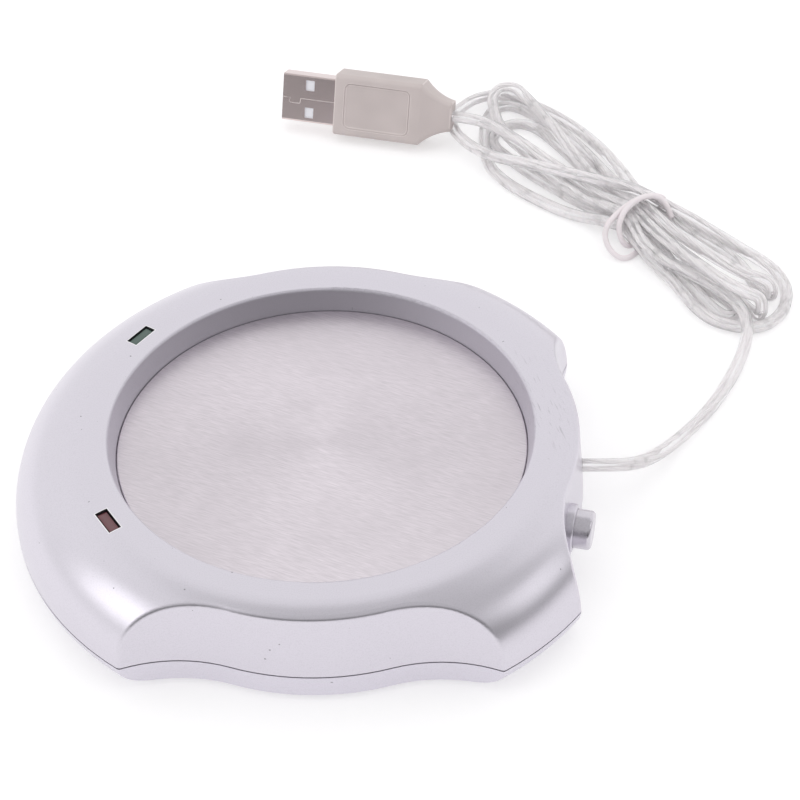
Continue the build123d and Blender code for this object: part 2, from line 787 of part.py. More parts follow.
with BuildPart() as rubber_feet:
    with BuildSketch():
        with foot_spots:
            Circle(foot_radius)
    extrude(amount=foot_height + foot_recess)
    fillet(rubber_feet.edges().group_by(Axis.Z)[0], radius=foot_fillet)
rubber_feet.part.label = "rubber_feet"
export_step(rubber_feet.part, "parts/rubber_feet.step")

case_screw = pan_screw(Plane.XY, case_head_radius, case_head_height, case_screw_radius, case_screw_length)
with BuildPart(Plane.XY.offset(foot_height + counterbore_depth)) as case_screws:
    with case_screw_spots:
        add(case_screw)
case_screws.part.label = "case_screws"
export_step(case_screws.part, "parts/case_screws.step")

# ---------------------------------------------------------------- heating plate and heater stack
# Pressed plate: its middle stands up through the recess opening, its flange is held under the wall.
with BuildPart() as heating_plate:
    with BuildSketch(Plane.XZ):
        with BuildLine():
            Polyline(
                (0, plate_top),
                (plate_radius, plate_top),
                (plate_radius, seat_z),
                (plate_flange_radius, seat_z),
                (plate_flange_radius, flange_foot),
                (plate_radius - plate_sheet, flange_foot),
                (plate_radius - plate_sheet, heater_top),
                (0, heater_top),
                close=True,
            )
        make_face()
    revolve(axis=Axis.Z)
    plate_rims = heating_plate.edges().filter_by(GeomType.CIRCLE)
    fillet(plate_rims.filter_by_position(Axis.Z, plate_top, plate_top), radius=plate_edge)
heating_plate.part.label = "heating_plate"
export_step(heating_plate.part, "parts/heating_plate.step")

with BuildPart(Plane.XY.offset(ribbon_top)) as mica_upper:
    Cylinder(mica_radius, mica_sheet, align=(Align.CENTER, Align.CENTER, Align.MIN))
mica_upper.part.label = "mica_upper"
export_step(mica_upper.part, "parts/mica_upper.step")

# The ribbon runs to and fro in rows, each joined to the next at alternate ends.
with BuildPart() as heating_ribbon:
    with BuildSketch(Plane.XY.offset(lower_mica_top)):
        for row in range(ribbon_rows):
            start, end = ribbon_turns[row], ribbon_turns[row + 1]
            with Locations(((start + end) / 2, ribbon_row_y[row])):
                Rectangle(abs(end - start) + ribbon_width, ribbon_width)
        for row in range(ribbon_rows - 1):
            with Locations((ribbon_turns[row + 1], ribbon_row_y[row] + ribbon_pitch / 2)):
                Rectangle(ribbon_width, ribbon_pitch)
    extrude(amount=ribbon_sheet)
heating_ribbon.part.label = "heating_ribbon"
export_step(heating_ribbon.part, "parts/heating_ribbon.step")

with BuildPart() as mica_lower:
    with BuildSketch(Plane.XY.offset(pad_top)):
        Circle(mica_radius)
        with heater_lead_spots:
            Circle(heater_hole_radius, mode=Mode.SUBTRACT)
    extrude(amount=mica_sheet)
mica_lower.part.label = "mica_lower"
export_step(mica_lower.part, "parts/mica_lower.step")

with BuildPart() as insulation_pad:
    with BuildSketch(Plane.XY.offset(dish_top)):
        Circle(pad_radius)
        with heater_lead_spots:
            Circle(heater_hole_radius, mode=Mode.SUBTRACT)
    extrude(amount=pad_sheet)
insulation_pad.part.label = "insulation_pad"
export_step(insulation_pad.part, "parts/insulation_pad.step")

# Pressed steel dish that clamps the stack and the flange of the plate up against the cover.
with BuildPart() as clamp_plate:
    with BuildSketch(Plane.XZ):
        with BuildLine():
            Polyline(
                (0, dish_top),
                (clamp_dish_radius - clamp_sheet, dish_top),
                (clamp_dish_radius - clamp_sheet, flange_foot),
                (plate_flange_radius, flange_foot),
                (plate_flange_radius, ear_z),
                (clamp_dish_radius, ear_z),
                (clamp_dish_radius, dish_top - clamp_sheet),
                (0, dish_top - clamp_sheet),
                close=True,
            )
        make_face()
    revolve(axis=Axis.Z)
    with BuildSketch(Plane.XY.offset(ear_z)):
        with clamp_spots:
            Circle(clamp_ear_radius)
        with PolarLocations(clamp_bolt_circle - clamp_ear_radius, clamp_boss_count, clamp_first_angle):
            Rectangle(2 * clamp_ear_radius, 2 * clamp_ear_radius)
        with clamp_spots:
            Circle(small_screw_radius + screw_clearance, mode=Mode.SUBTRACT)
        Circle(plate_flange_radius - clamp_sheet, mode=Mode.SUBTRACT)
    extrude(amount=clamp_sheet)
    with BuildSketch(Plane.XY.offset(dish_top - clamp_sheet)):
        Circle(clamp_bead_radius + clamp_bead_width / 2)
        Circle(clamp_bead_radius - clamp_bead_width / 2, mode=Mode.SUBTRACT)
    extrude(amount=-clamp_bead_depth)
    with BuildSketch(Plane.XY.offset(dish_top)):
        Circle(clamp_bead_radius + clamp_bead_width / 2 - clamp_bead_depth)
        Circle(clamp_bead_radius - clamp_bead_width / 2 + clamp_bead_depth, mode=Mode.SUBTRACT)
    extrude(amount=-clamp_bead_depth, mode=Mode.SUBTRACT)
    with BuildSketch(Plane.XY.offset(dish_top)):
        with heater_lead_spots:
            Circle(heater_hole_radius)
    extrude(amount=-clamp_sheet, mode=Mode.SUBTRACT)
clamp_plate.part.label = "clamp_plate"
export_step(clamp_plate.part, "parts/clamp_plate.step")

small_screw = pan_screw(Plane.XY, small_head_radius, small_head_height, small_screw_radius, small_screw_length)
with BuildPart(Plane.XY.offset(ear_z)) as clamp_screws:
    with clamp_spots:
        add(small_screw)
clamp_screws.part.label = "clamp_screws"
export_step(clamp_screws.part, "parts/clamp_screws.step")

# ---------------------------------------------------------------- indicator lamps and their board
for colour, lamp in zip(("red", "green"), lamp_planes):
    with BuildPart() as lens:
        with BuildSketch(lamp.offset(pocket_ceiling - lens_flange_height)):
            Rectangle(lamp_pocket[0] - 2 * window_clearance, lamp_pocket[1] - 2 * window_clearance)
        extrude(amount=lens_flange_height)
        with BuildSketch(lamp.offset(pocket_ceiling)):
            Rectangle(window_length - 2 * window_clearance, window_width - 2 * window_clearance)
        extrude(amount=window_z - pocket_ceiling)
        chamfer(lens.faces().sort_by(Axis.Z)[-1].edges(), length=lens_chamfer)
    lens.part.label = f"{colour}_lens"
    export_step(lens.part, f"parts/{colour}_lens.step")

    with BuildPart() as led:
        with BuildSketch(lamp.offset(led_foot)):
            Circle(led_flange_radius)
        extrude(amount=led_flange_height)
        with BuildSketch(lamp.offset(led_foot)):
            Circle(led_radius)
        extrude(amount=led_height - led_radius)
        with Locations(lamp.offset(led_foot + led_height - led_radius)):
            Sphere(led_radius)
        with BuildSketch(lamp.offset(led_foot)):
            with GridLocations(0, led_pin_pitch, 1, 2):
                Rectangle(led_pin, led_pin)
        extrude(amount=board_under - board_pin_below - led_foot)
    led.part.label = f"{colour}_led"
    export_step(led.part, f"parts/{colour}_led.step")

with BuildPart() as circuit_board:
    with BuildSketch(Plane.XY.offset(board_under)):
        with Locations((board_x, 0)):
            Rectangle(board_width, board_length)
            with board_posts:
                Circle(small_screw_radius + screw_clearance, mode=Mode.SUBTRACT)
    extrude(amount=board_sheet)
    for lamp in lamp_planes:
        with BuildSketch(lamp.offset(board_under)):
            with GridLocations(0, led_pin_pitch, 1, 2):
                Circle(led_pin)
        extrude(amount=board_sheet, mode=Mode.SUBTRACT)
circuit_board.part.label = "circuit_board"
export_step(circuit_board.part, "parts/circuit_board.step")

with BuildPart() as led_resistors:
    for side in (-1, 1):
        with Locations((board_x, side * resistor_offset, resistor_z)):
            Cylinder(resistor_radius, resistor_length, rotation=(90, 0, 0))
            Cylinder(resistor_pin_radius, resistor_span, rotation=(90, 0, 0))
        with BuildSketch(Plane.XY.offset(board_top)):
            with Locations((board_x, side * resistor_offset)):
                with GridLocations(0, resistor_span - 2 * resistor_pin_radius, 1, 2):
                    Circle(resistor_pin_radius)
        extrude(amount=resistor_z - board_top)
led_resistors.part.label = "led_resistors"
export_step(led_resistors.part, "parts/led_resistors.step")

down_plane = Plane(origin=(0, 0, 0), x_dir=(1, 0, 0), z_dir=(0, 0, -1))
down_screw = pan_screw(
    down_plane,
    small_head_radius,
    small_head_height,
    small_screw_radius,
    small_screw_length,
)
with BuildPart(Plane.XY.offset(board_top)) as board_screws:
    with Locations((board_x, 0)):
        with board_posts:
            add(down_screw)
board_screws.part.label = "board_screws"
export_step(board_screws.part, "parts/board_screws.step")

# ---------------------------------------------------------------- push button and its latching switch
with BuildPart() as button_cap:
    with BuildSketch(button_plane.offset(button_inner)):
        Circle(button_radius + button_lip)
    extrude(amount=button_lip_height)
    with BuildSketch(button_plane.offset(button_inner)):
        Circle(button_radius)
    extrude(amount=button_tip - button_inner)
    fillet(button_cap.edges().filter_by(GeomType.CIRCLE).sort_by(Axis.X)[-1], radius=button_fillet)
    with BuildSketch(switch_plane.offset(button_inner)):
        Rectangle(plunger_size + 2 * thread_clearance, plunger_size + 2 * thread_clearance)
    extrude(amount=plunger_socket, mode=Mode.SUBTRACT)
button_cap.part.label = "button_cap"
export_step(button_cap.part, "parts/button_cap.step")

with BuildPart() as switch_body:
    with BuildSketch(switch_plane.offset(switch_face)):
        Rectangle(switch_size, switch_size)
    extrude(amount=-switch_length)
    with BuildSketch(switch_plane.offset(cavity_head)):
        Rectangle(switch_cavity, switch_cavity)
    extrude(amount=-switch_cavity_depth, mode=Mode.SUBTRACT)
    with BuildSketch(switch_plane.offset(switch_face)):
        Rectangle(plunger_size + 2 * plunger_clearance, plunger_size + 2 * plunger_clearance)
    extrude(amount=-switch_front, mode=Mode.SUBTRACT)
switch_body.part.label = "switch_body"
export_step(switch_body.part, "parts/switch_body.step")

with BuildPart() as switch_plunger:
    with BuildSketch(switch_plane.offset(plunger_tip)):
        Rectangle(plunger_size, plunger_size)
    extrude(amount=cavity_head - plunger_tip)
    with BuildSketch(switch_plane.offset(cavity_head)):
        Rectangle(plunger_collar, plunger_collar)
    extrude(amount=-plunger_collar_height)
    with BuildSketch(switch_plane.offset(cavity_head)):
        Circle(plunger_tail_radius)
    extrude(amount=-plunger_collar_height - plunger_tail)
switch_plunger.part.label = "switch_plunger"
export_step(switch_plunger.part, "parts/switch_plunger.step")

spring_head = cavity_head - plunger_collar_height - spring_wire - spring_end_gap / 2
spring_foot = cavity_foot + spring_wire + spring_end_gap / 2
spring_length = spring_head - spring_foot
spring_place = switch_plane.offset(spring_foot).origin
with BuildPart() as switch_spring:
    with BuildLine() as coil:
        Helix(
            pitch=spring_length / spring_turns,
            height=spring_length,
            radius=spring_radius,
            center=spring_place,
            direction=button_normal,
        )
    with BuildSketch(Plane(origin=coil.line @ 0, z_dir=coil.line % 0)):
        Circle(spring_wire)
    sweep(path=coil.line, is_frenet=True)
switch_spring.part.label = "switch_spring"
export_step(switch_spring.part, "parts/switch_spring.step")

with BuildPart() as switch_terminals:
    with BuildSketch(switch_plane.offset(switch_face - switch_length)):
        with GridLocations(terminal_spacing, 0, 2, 1):
            Rectangle(terminal_size[0], terminal_size[1])
    extrude(amount=-terminal_size[2])
switch_terminals.part.label = "switch_terminals"
export_step(switch_terminals.part, "parts/switch_terminals.step")

# ---------------------------------------------------------------- cord clamp and leads inside the case
with BuildPart() as cord_clamp:
    with BuildSketch(Plane.XY.offset(cord_z + anchor_gap / 2)):
        with Locations((anchor_x, cord_y)):
            Rectangle(anchor_length, anchor_width)
        with anchor_screw_spots:
            Circle(small_screw_radius + screw_clearance, mode=Mode.SUBTRACT)
    extrude(amount=anchor_bar_height)
    with BuildSketch(Plane.YZ.offset(anchor_x - anchor_length / 2)):
        with Locations((cord_y, cord_z)):
            Circle(cord_radius + thread_clearance)
    extrude(amount=anchor_length, mode=Mode.SUBTRACT)
    fillet(cord_clamp.edges().group_by(Axis.Z)[-1].filter_by(GeomType.LINE), radius=anchor_fillet)
cord_clamp.part.label = "cord_clamp"
export_step(cord_clamp.part, "parts/cord_clamp.step")

with BuildPart(Plane.XY.offset(cord_z + anchor_gap / 2 + anchor_bar_height)) as cord_clamp_screws:
    with anchor_screw_spots:
        add(down_screw)
cord_clamp_screws.part.label = "cord_clamp_screws"
export_step(cord_clamp_screws.part, "parts/cord_clamp_screws.step")

with BuildPart() as cord_inner_end:
    with BuildSketch(Plane.YZ.offset(cord_inner_end_x)):
        with Locations((cord_y, cord_z)):
            Circle(cord_radius)
    extrude(amount=cord_route[0][0] - cord_inner_end_x)
cord_inner_end.part.label = "cord_inner_end"
export_step(cord_inner_end.part, "parts/cord_inner_end.step")

supply_lead_positive = swept_lead(
    [
        (cord_inner_end_x, cord_y - core_offset, cord_z),
        *positive_lead_points,
        (*positive_lead_turn, terminal_z),
        terminal_approach[1],
        terminal_ends[1],
    ],
    lead_radius,
)
supply_lead_positive.label = "supply_lead_positive"
export_step(supply_lead_positive, "parts/supply_lead_positive.step")

supply_lead_negative = swept_lead(
    [
        (cord_inner_end_x, cord_y + core_offset, cord_z),
        *negative_lead_points,
        (lead_end_x + lead_board_gap, supply_lead_sides[0], lead_on_board_z),
        (lead_end_x, supply_lead_sides[1], lead_on_board_z),
    ],
    lead_radius,
)
supply_lead_negative.label = "supply_lead_negative"
export_step(supply_lead_negative, "parts/supply_lead_negative.step")

switched_lead = swept_lead(
    [
        terminal_ends[0],
        terminal_approach[0],
        *switched_lead_points,
        (lead_end_x + lead_board_gap, switched_lead_sides[0], lead_on_board_z),
        (lead_end_x, switched_lead_sides[1], lead_on_board_z),
    ],
    lead_radius,
)
switched_lead.label = "switched_lead"
export_step(switched_lead, "parts/switched_lead.step")

with BuildPart() as heater_leads:
    for side in (-1, 1):
        add(
            swept_lead(
                [
                    (ribbon_turns[0], side * -ribbon_row_y[0], lower_mica_top),
                    (ribbon_turns[0], side * -ribbon_row_y[0], heater_lead_drop),
                    *[(x, side * y, z) for x, y, z in heater_lead_points],
                    (heater_lead_meets[0], side * heater_lead_meets[1], lead_on_board_z),
                    (lead_end_x, side * heater_lead_side, lead_on_board_z),
                ],
                lead_radius,
            )
        )
heater_leads.part.label = "heater_leads"
export_step(heater_leads.part, "parts/heater_leads.step")

# ---------------------------------------------------------------- cord, hank and tie
usb_cord = swept_lead(cord_route, cord_radius)
usb_cord.label = "usb_cord"
export_step(usb_cord, "parts/usb_cord.step")

cord_tail = swept_lead(tail_route, cord_radius)
cord_tail.label = "cord_tail"
export_step(cord_tail, "parts/cord_tail.step")

# The folded cord as one closed outer shape; the two loose ends of the cord run into it.
with BuildPart() as cord_hank:
    for along, across, half_width, height, lift in hank_sections:
        with BuildSketch(hank_place(along, across, lift + height / 2)):
            Ellipse(half_width, height / 2)
    loft()
    add(usb_cord, mode=Mode.SUBTRACT)
    add(cord_tail, mode=Mode.SUBTRACT)
cord_hank.part.label = "cord_hank"
export_step(cord_hank.part, "parts/cord_hank.step")

# Two turns of the tie, and its twisted end.
with BuildPart() as twist_tie:
    for place, tilt in zip(tie_places, (tie_tilt, -tie_tilt)):
        turn = hank_place(place, tie_across, tie_middle_z).rotated((0, tilt, 0))
        with BuildLine(turn) as ring:
            EllipticalCenterArc((0, 0), tie_half_width, tie_half_height, arc_size=360)
        with BuildSketch(Plane(origin=ring.line @ 0, z_dir=ring.line % 0)):
            Circle(tie_radius)
        sweep(path=ring.line)
    with BuildSketch(tie_end_plane):
        Circle(tie_end_radius)
    extrude(amount=tie_tail_length)
    outermost = twist_tie.faces().sort_by(Axis(tie_end_plane.origin, tie_end_plane.z_dir))[-1]
    fillet(outermost.edges(), tie_radius / 2)
twist_tie.part.label = "twist_tie"
export_step(twist_tie.part, "parts/twist_tie.step")

# ---------------------------------------------------------------- plug
# Local x points to the contacts, local z is the normal of the wide face that looks up.
with BuildPart() as plug_shell:
    with BuildSketch(plug_section.offset(-shell_inset)):
        RectangleRounded(shell_width, shell_height, shell_corner)
        RectangleRounded(
            shell_width - 2 * shell_sheet,
            shell_height - 2 * shell_sheet,
            shell_corner - shell_sheet,
            mode=Mode.SUBTRACT,
        )
    extrude(amount=shell_inset + shell_length)
    with BuildSketch(plug_plane.offset(-shell_height)):
        with Locations((shell_length - latch_from_tip, 0)):
            with GridLocations(0, 2 * latch_offset, 1, 2):
                Rectangle(latch_length, latch_width)
    extrude(amount=2 * shell_height, mode=Mode.SUBTRACT)
plug_shell.part.label = "plug_shell"
export_step(plug_shell.part, "parts/plug_shell.step")

with BuildPart() as plug_tongue:
    with BuildSketch(plug_plane.offset(shell_height / 2 - shell_sheet - tongue_sheet)):
        with Locations((-shell_inset, 0)):
            Rectangle(
                shell_inset + shell_length - tongue_short,
                tongue_width,
                align=(Align.MIN, Align.CENTER),
            )
    extrude(amount=tongue_sheet)
plug_tongue.part.label = "plug_tongue"
export_step(plug_tongue.part, "parts/plug_tongue.step")

with BuildPart() as plug_contacts:
    for place, short in zip(contact_spacing, (0, contact_step, contact_step, 0)):
        with BuildSketch(plug_plane.offset(shell_height / 2 - shell_sheet - tongue_sheet)):
            with Locations((shell_length - tongue_short - contact_from_tip - short, place)):
                Rectangle(contact_length - short, contact_width, align=(Align.MAX, Align.CENTER))
        extrude(amount=-contact_sheet)
plug_contacts.part.label = "plug_contacts"
export_step(plug_contacts.part, "parts/plug_contacts.step")

with BuildPart() as plug_body:
    with BuildSketch(plug_section):
        Rectangle(grip_width, grip_height)
    extrude(amount=-grip_length)
    for station, width, height in grip_taper_sections:
        with BuildSketch(plug_section.offset(-grip_length - station)):
            Rectangle(width, height)
    loft()
    fillet(plug_body.edges().filter_by(is_long_edge), radius=grip_fillet)
    for face_plane in (plug_plane, plug_plane_under):
        with BuildSketch(face_plane.offset(grip_height / 2 - panel_depth)):
            with Locations((-panel_middle, 0)):
                RectangleRounded(*panel_size, panel_corner)
        extrude(amount=panel_depth, mode=Mode.SUBTRACT)
    with BuildSketch(plug_section):
        RectangleRounded(shell_width + 2 * shell_fit, shell_height + 2 * shell_fit, shell_corner)
    extrude(amount=-shell_inset, mode=Mode.SUBTRACT)
plug_body.part.label = "plug_body"
export_step(plug_body.part, "parts/plug_body.step")

print("corner radii of the cord", [round(radius, 1) for radius in corner_radii(cord_route)])
print("corner radii of the tail", [round(radius, 1) for radius in corner_radii(tail_route)])
section_area = pi * cord_radius**2
for name, piece, points in (("cord", usb_cord, cord_route), ("tail", cord_tail, tail_route)):
    runs = [(Vector(*end) - Vector(*start)).length for start, end in zip(points, points[1:])]
    filled = piece.volume / section_area
    print(name, "volume / section", round(filled, 1), "length of runs", round(sum(runs), 1))
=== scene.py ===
"""Dresses the electric mug warmer: paint, brushed plate, windows, clear cord, twist tie, plug and studio."""

import math

import bmesh
import bpy
from bpy.props import FloatProperty, FloatVectorProperty, IntProperty, PointerProperty
from mathutils import Matrix, Vector


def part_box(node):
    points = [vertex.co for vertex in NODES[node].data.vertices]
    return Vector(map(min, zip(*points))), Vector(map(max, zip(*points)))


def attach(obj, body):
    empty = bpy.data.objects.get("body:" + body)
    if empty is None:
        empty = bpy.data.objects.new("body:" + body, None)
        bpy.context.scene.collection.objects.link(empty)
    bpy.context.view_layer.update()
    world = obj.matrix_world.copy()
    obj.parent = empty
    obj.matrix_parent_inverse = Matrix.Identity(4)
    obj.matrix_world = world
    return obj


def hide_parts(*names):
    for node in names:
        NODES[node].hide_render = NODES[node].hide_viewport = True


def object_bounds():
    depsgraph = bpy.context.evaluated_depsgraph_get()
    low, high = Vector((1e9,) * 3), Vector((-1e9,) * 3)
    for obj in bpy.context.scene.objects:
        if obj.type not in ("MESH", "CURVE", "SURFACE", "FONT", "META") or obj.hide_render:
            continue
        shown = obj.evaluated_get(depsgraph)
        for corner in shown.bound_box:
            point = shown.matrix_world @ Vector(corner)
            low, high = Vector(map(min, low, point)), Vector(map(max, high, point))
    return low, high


bl_info = {
    "name": "Mug warmer",
    "version": (1, 0, 0),
    "blender": (4, 5, 0),
    "location": "View3D > Sidebar > Mug warmer",
    "description": "Finishes, cord, tie and studio of the electric mug warmer",
    "category": "Object",
}

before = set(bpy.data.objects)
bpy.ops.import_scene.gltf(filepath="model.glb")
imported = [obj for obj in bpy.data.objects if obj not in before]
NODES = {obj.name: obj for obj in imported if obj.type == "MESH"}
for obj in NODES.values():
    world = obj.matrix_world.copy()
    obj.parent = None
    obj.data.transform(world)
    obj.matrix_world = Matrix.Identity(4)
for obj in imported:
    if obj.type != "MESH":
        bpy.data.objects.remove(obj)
CAD_BOX = [list(corner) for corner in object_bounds()]
MM = 0.001
BODY = "housing"

# the camera: its picture and focal length in pixels, its sensor and place in mm, and its own axes
IMAGE = 800
FOCAL = 2050.0
SENSOR = 36.0
CAMERA_PLACE = (27.4, -298.5, 299.3)
CAMERA_RIGHT = (0.99959, 0.02250, -0.01787)
CAMERA_UP = (-0.00189, 0.67204, 0.74058)

# the light tent's cloth, in metres: a wall round the front and both sides, and a ceiling
CARD_DISTANCE = 1.25
CARD_HEIGHT = 2.5
CARD_REACH = math.radians(105.0)  # to each side of the front
CARD_STEPS = 32
CEILING_RADIUS = 1.38
CEILING_SIDES = 48
CARD_DARK = 0.16  # height up to which it stays dark at the sides
CARD_PALE = 0.42  # height above which it is pale
CARD_LEAN = 0.32  # how much higher both are in front, for each metre forward
CARD_LEFT = (-0.5 * CARD_DISTANCE, -0.75 * CARD_DISTANCE)  # where the brighter left part begins and is full
CARD_RIGHT = (0.2 * CARD_DISTANCE, 0.6 * CARD_DISTANCE)  # the same for the right part
DARK_GLOW, PALE_GLOW, LEFT_GLOW, RIGHT_GLOW = 0.03, 0.52, 0.9, 0.2  # low down, above and in those parts

# the soft boxes: name, place and width in metres, power in watts, and whether surfaces mirror them
LAMPS = (
    ("left_box", (-0.9, -0.32, 0.57), 0.6, 1.1, True),
    ("right_box", (0.96, -0.16, 0.49), 0.5, 0.6, True),
    ("top_box", (0.03, 0.25, 1.1), 1.0, 1.6, False),
)
LAMP_AIM = (0.02, 0.03, 0.0)
FLOOR_GLOW = (0.2, 0.43)  # as light on the object, and as the camera and reflections see it
AIR_GLOW = (0.85, 1.0)  # the same for the white all round

# ------------------------------------------------------------------ routes, in millimetres

# from the slot in the case to the folded part, in the frame of the case
LEAD_ROUTE = [
    (52.4, 1.0, 9.8), (57.0, 1.0, 9.8), (62.0, 3.0, 8.0), (66.0, 6.8, 5.6), (70.0, 12.0, 3.2),
    (75.0, 18.5, 1.8), (80.5, 25.8, 1.45), (85.0, 33.6, 1.45), (88.8, 41.6, 1.6), (91.3, 48.6, 3.0),
]

# the folded part: along the hank from the tie, across it, and height over the table
HANK_ROUTE = [
    # in from the case, through the tie
    (42.0, -11.2, 4.5), (38.2, -9.2, 4.6), (34.5, -7.8, 4.4), (29.5, -7.1, 4.3), (22.5, -7.8, 4.7),
    (15.0, -7.9, 4.9), (8.0, -6.2, 5.1), (3.5, -3.6, 5.9), (0.0, -2.0, 6.3), (-5.0, -1.9, 5.6),
    (-12.0, -1.9, 4.5), (-21.5, -0.9, 4.3), (-29.5, 1.1, 4.3), (-37.0, 3.2, 4.3), (-43.0, 4.7, 4.3),
    (-48.5, 7.3, 4.3), (-53.5, 10.8, 4.4),
    # first loop at the plug's end
    (-57.6, 14.6, 4.8), (-58.9, 19.0, 5.2), (-56.0, 21.9, 5.2), (-51.2, 20.4, 5.0), (-44.8, 18.3, 4.8),
    (-36.8, 15.0, 4.6), (-29.0, 11.4, 4.5), (-20.7, 7.4, 4.6), (-12.5, 4.7, 4.8), (-5.5, 3.9, 5.6),
    # through the tie, over the others, to the upper tight fold
    (0.0, 3.7, 6.2), (5.0, 1.8, 7.0), (11.8, -0.3, 7.1), (17.7, -0.9, 7.1), (23.9, -1.5, 6.9),
    (29.4, -1.6, 6.6), (33.5, -1.2, 6.3), (36.6, -0.6, 6.4), (40.2, 0.1, 6.4), (40.5, 1.1, 1.5),
    (37.0, 1.6, 1.45),
    # back on the table, through the tie
    (33.8, 2.8, 1.45), (31.0, 4.4, 1.45), (27.5, 6.2, 1.45), (22.5, 7.3, 1.45), (17.0, 7.6, 1.7),
    (11.0, 7.2, 2.4), (5.0, 7.6, 3.4), (0.0, 8.0, 3.75), (-5.0, 9.6, 3.0), (-10.9, 13.2, 1.8),
    # the longest loop, round beside the plug
    (-17.9, 17.0, 1.45), (-26.1, 20.2, 1.45), (-34.7, 22.4, 1.45), (-41.5, 23.1, 1.45),
    (-47.8, 23.2, 1.45), (-54.1, 22.6, 1.45), (-60.6, 20.6, 1.7), (-62.8, 14.0, 2.6),
    (-61.6, 7.0, 3.6), (-60.0, 2.0, 4.0), (-56.0, -1.6, 4.0), (-50.6, -3.6, 4.2), (-44.5, -4.8, 4.7),
    (-37.5, -4.6, 5.8), (-32.0, -3.2, 6.6), (-26.8, -1.9, 7.1), (-21.4, -0.3, 7.4), (-16.4, 1.2, 7.6),
    (-10.5, 3.0, 8.0), (-5.0, 5.4, 7.8), (0.0, 6.8, 6.7),
    # the wide loop at the case's end
    (4.5, 7.8, 5.6), (10.5, 8.9, 4.6), (17.5, 9.5, 3.4), (24.4, 10.2, 2.2), (30.3, 10.4, 1.6),
    (35.2, 9.6, 1.45), (39.8, 7.0, 1.45), (43.0, 3.2, 1.45), (45.2, -1.6, 1.45), (45.4, -6.6, 1.45),
    (43.4, -10.6, 1.45), (39.6, -13.0, 1.45), (35.0, -14.4, 1.45), (29.5, -13.4, 1.45),
    (23.3, -10.7, 1.45), (17.4, -8.6, 1.45), (12.0, -7.2, 1.6), (6.0, -5.2, 2.8), (0.0, -3.4, 3.75),
    # the outer loop on the table at the plug's end
    (-5.0, -4.2, 3.2), (-10.0, -5.2, 2.0), (-15.5, -6.2, 1.45), (-21.5, -6.8, 1.45), (-27.1, -7.0, 1.45),
    (-32.8, -6.8, 1.45), (-39.0, -5.4, 1.45), (-44.4, -2.4, 1.45), (-49.8, 3.0, 1.45), (-54.4, 8.6, 1.45),
    (-57.2, 13.8, 1.45), (-56.0, 18.6, 1.45), (-51.5, 19.8, 1.45), (-45.1, 19.8, 1.45),
    (-37.0, 18.8, 1.45), (-27.3, 16.0, 1.45), (-17.9, 12.4, 1.6), (-10.2, 9.0, 2.4), (-4.0, 6.2, 3.5),
    (0.0, 5.1, 3.75),
    # the narrow loop on the table at the case's end
    (4.0, 3.2, 2.6), (8.0, -0.4, 1.6), (12.0, -3.6, 1.45), (17.8, -4.6, 1.45), (22.6, -5.2, 1.45),
    (28.0, -6.0, 1.45), (33.4, -6.4, 1.45), (38.0, -8.0, 1.45), (37.2, -11.6, 1.45), (32.4, -11.0, 1.45),
    (26.8, -8.9, 1.6), (20.5, -7.0, 2.0), (14.5, -5.2, 3.7), (8.0, -2.6, 4.2), (0.0, -0.55, 3.75),
    # the inner loop at the plug's end
    (-5.0, -0.2, 2.6), (-10.0, -0.5, 1.6), (-16.0, -0.9, 1.45), (-23.7, -0.5, 1.45), (-32.9, 0.1, 1.45),
    (-39.8, 1.3, 1.45), (-45.0, 2.2, 1.45), (-48.6, 4.6, 1.45), (-50.2, 9.0, 1.45), (-48.9, 14.2, 1.45),
    (-44.0, 16.0, 1.45), (-37.0, 14.6, 1.45), (-28.0, 11.9, 1.45), (-18.0, 8.4, 1.5), (-9.0, 4.4, 2.6),
    (0.0, 2.3, 3.75),
    # under the others to the lower tight fold, and back on top
    (5.0, 0.9, 4.2), (10.0, -0.6, 4.2), (15.0, -1.8, 3.8), (20.0, -2.6, 3.0), (26.0, -3.4, 1.9),
    (32.0, -4.2, 1.45), (37.0, -5.2, 1.45), (40.4, -6.0, 1.45), (43.2, -6.8, 2.6), (43.0, -7.4, 8.2),
    (39.4, -7.5, 7.5), (35.2, -7.7, 7.4), (30.0, -7.3, 7.3), (24.0, -6.5, 7.3), (17.6, -5.3, 7.3),
    (10.8, -3.8, 7.3), (5.0, -1.8, 7.0), (0.0, 0.85, 6.3), (-5.0, 0.8, 5.9), (-11.0, 0.7, 4.9),
    (-16.7, 1.4, 4.4),
]

# from the folded part to the plug, in the frame of the case
TAIL_ROUTE = [
    (54.0, 107.8, 4.6), (48.2, 112.6, 5.9), (42.0, 118.2, 7.2), (36.2, 123.6, 8.0), (30.68, 126.14, 8.4),
    (25.81, 127.28, 8.4),
]

# the tie's wire, twice round the hank, in the hank's own measures
TIE_ROUTE = [
    (6.8, 6.6, 4.2), (5.6, 6.6, 6.4), (3.3, 6.2, 8.5), (1.8, 3.9, 9.6), (0.8, 0.4, 9.8), (0.6, -3.3, 9.0),
    (1.0, -5.9, 7.2), (2.0, -7.2, 4.6), (3.8, -7.0, 1.8), (4.4, -4.4, 0.8), (2.4, 0.0, 0.75),
    (0.6, 6.0, 0.8), (1.2, 9.8, 2.2), (2.2, 9.9, 5.0), (2.2, 7.8, 7.4), (0.8, 4.9, 8.4),
    (-0.2, 1.4, 8.6), (-0.5, -2.3, 8.3), (-0.8, -5.6, 7.5), (-0.8, -8.4, 6.2), (0.2, -10.3, 4.2),
    (2.8, -11.0, 1.9), (5.6, -10.4, 0.8), (6.9, -7.8, 0.75), (6.4, -4.0, 0.75),
]

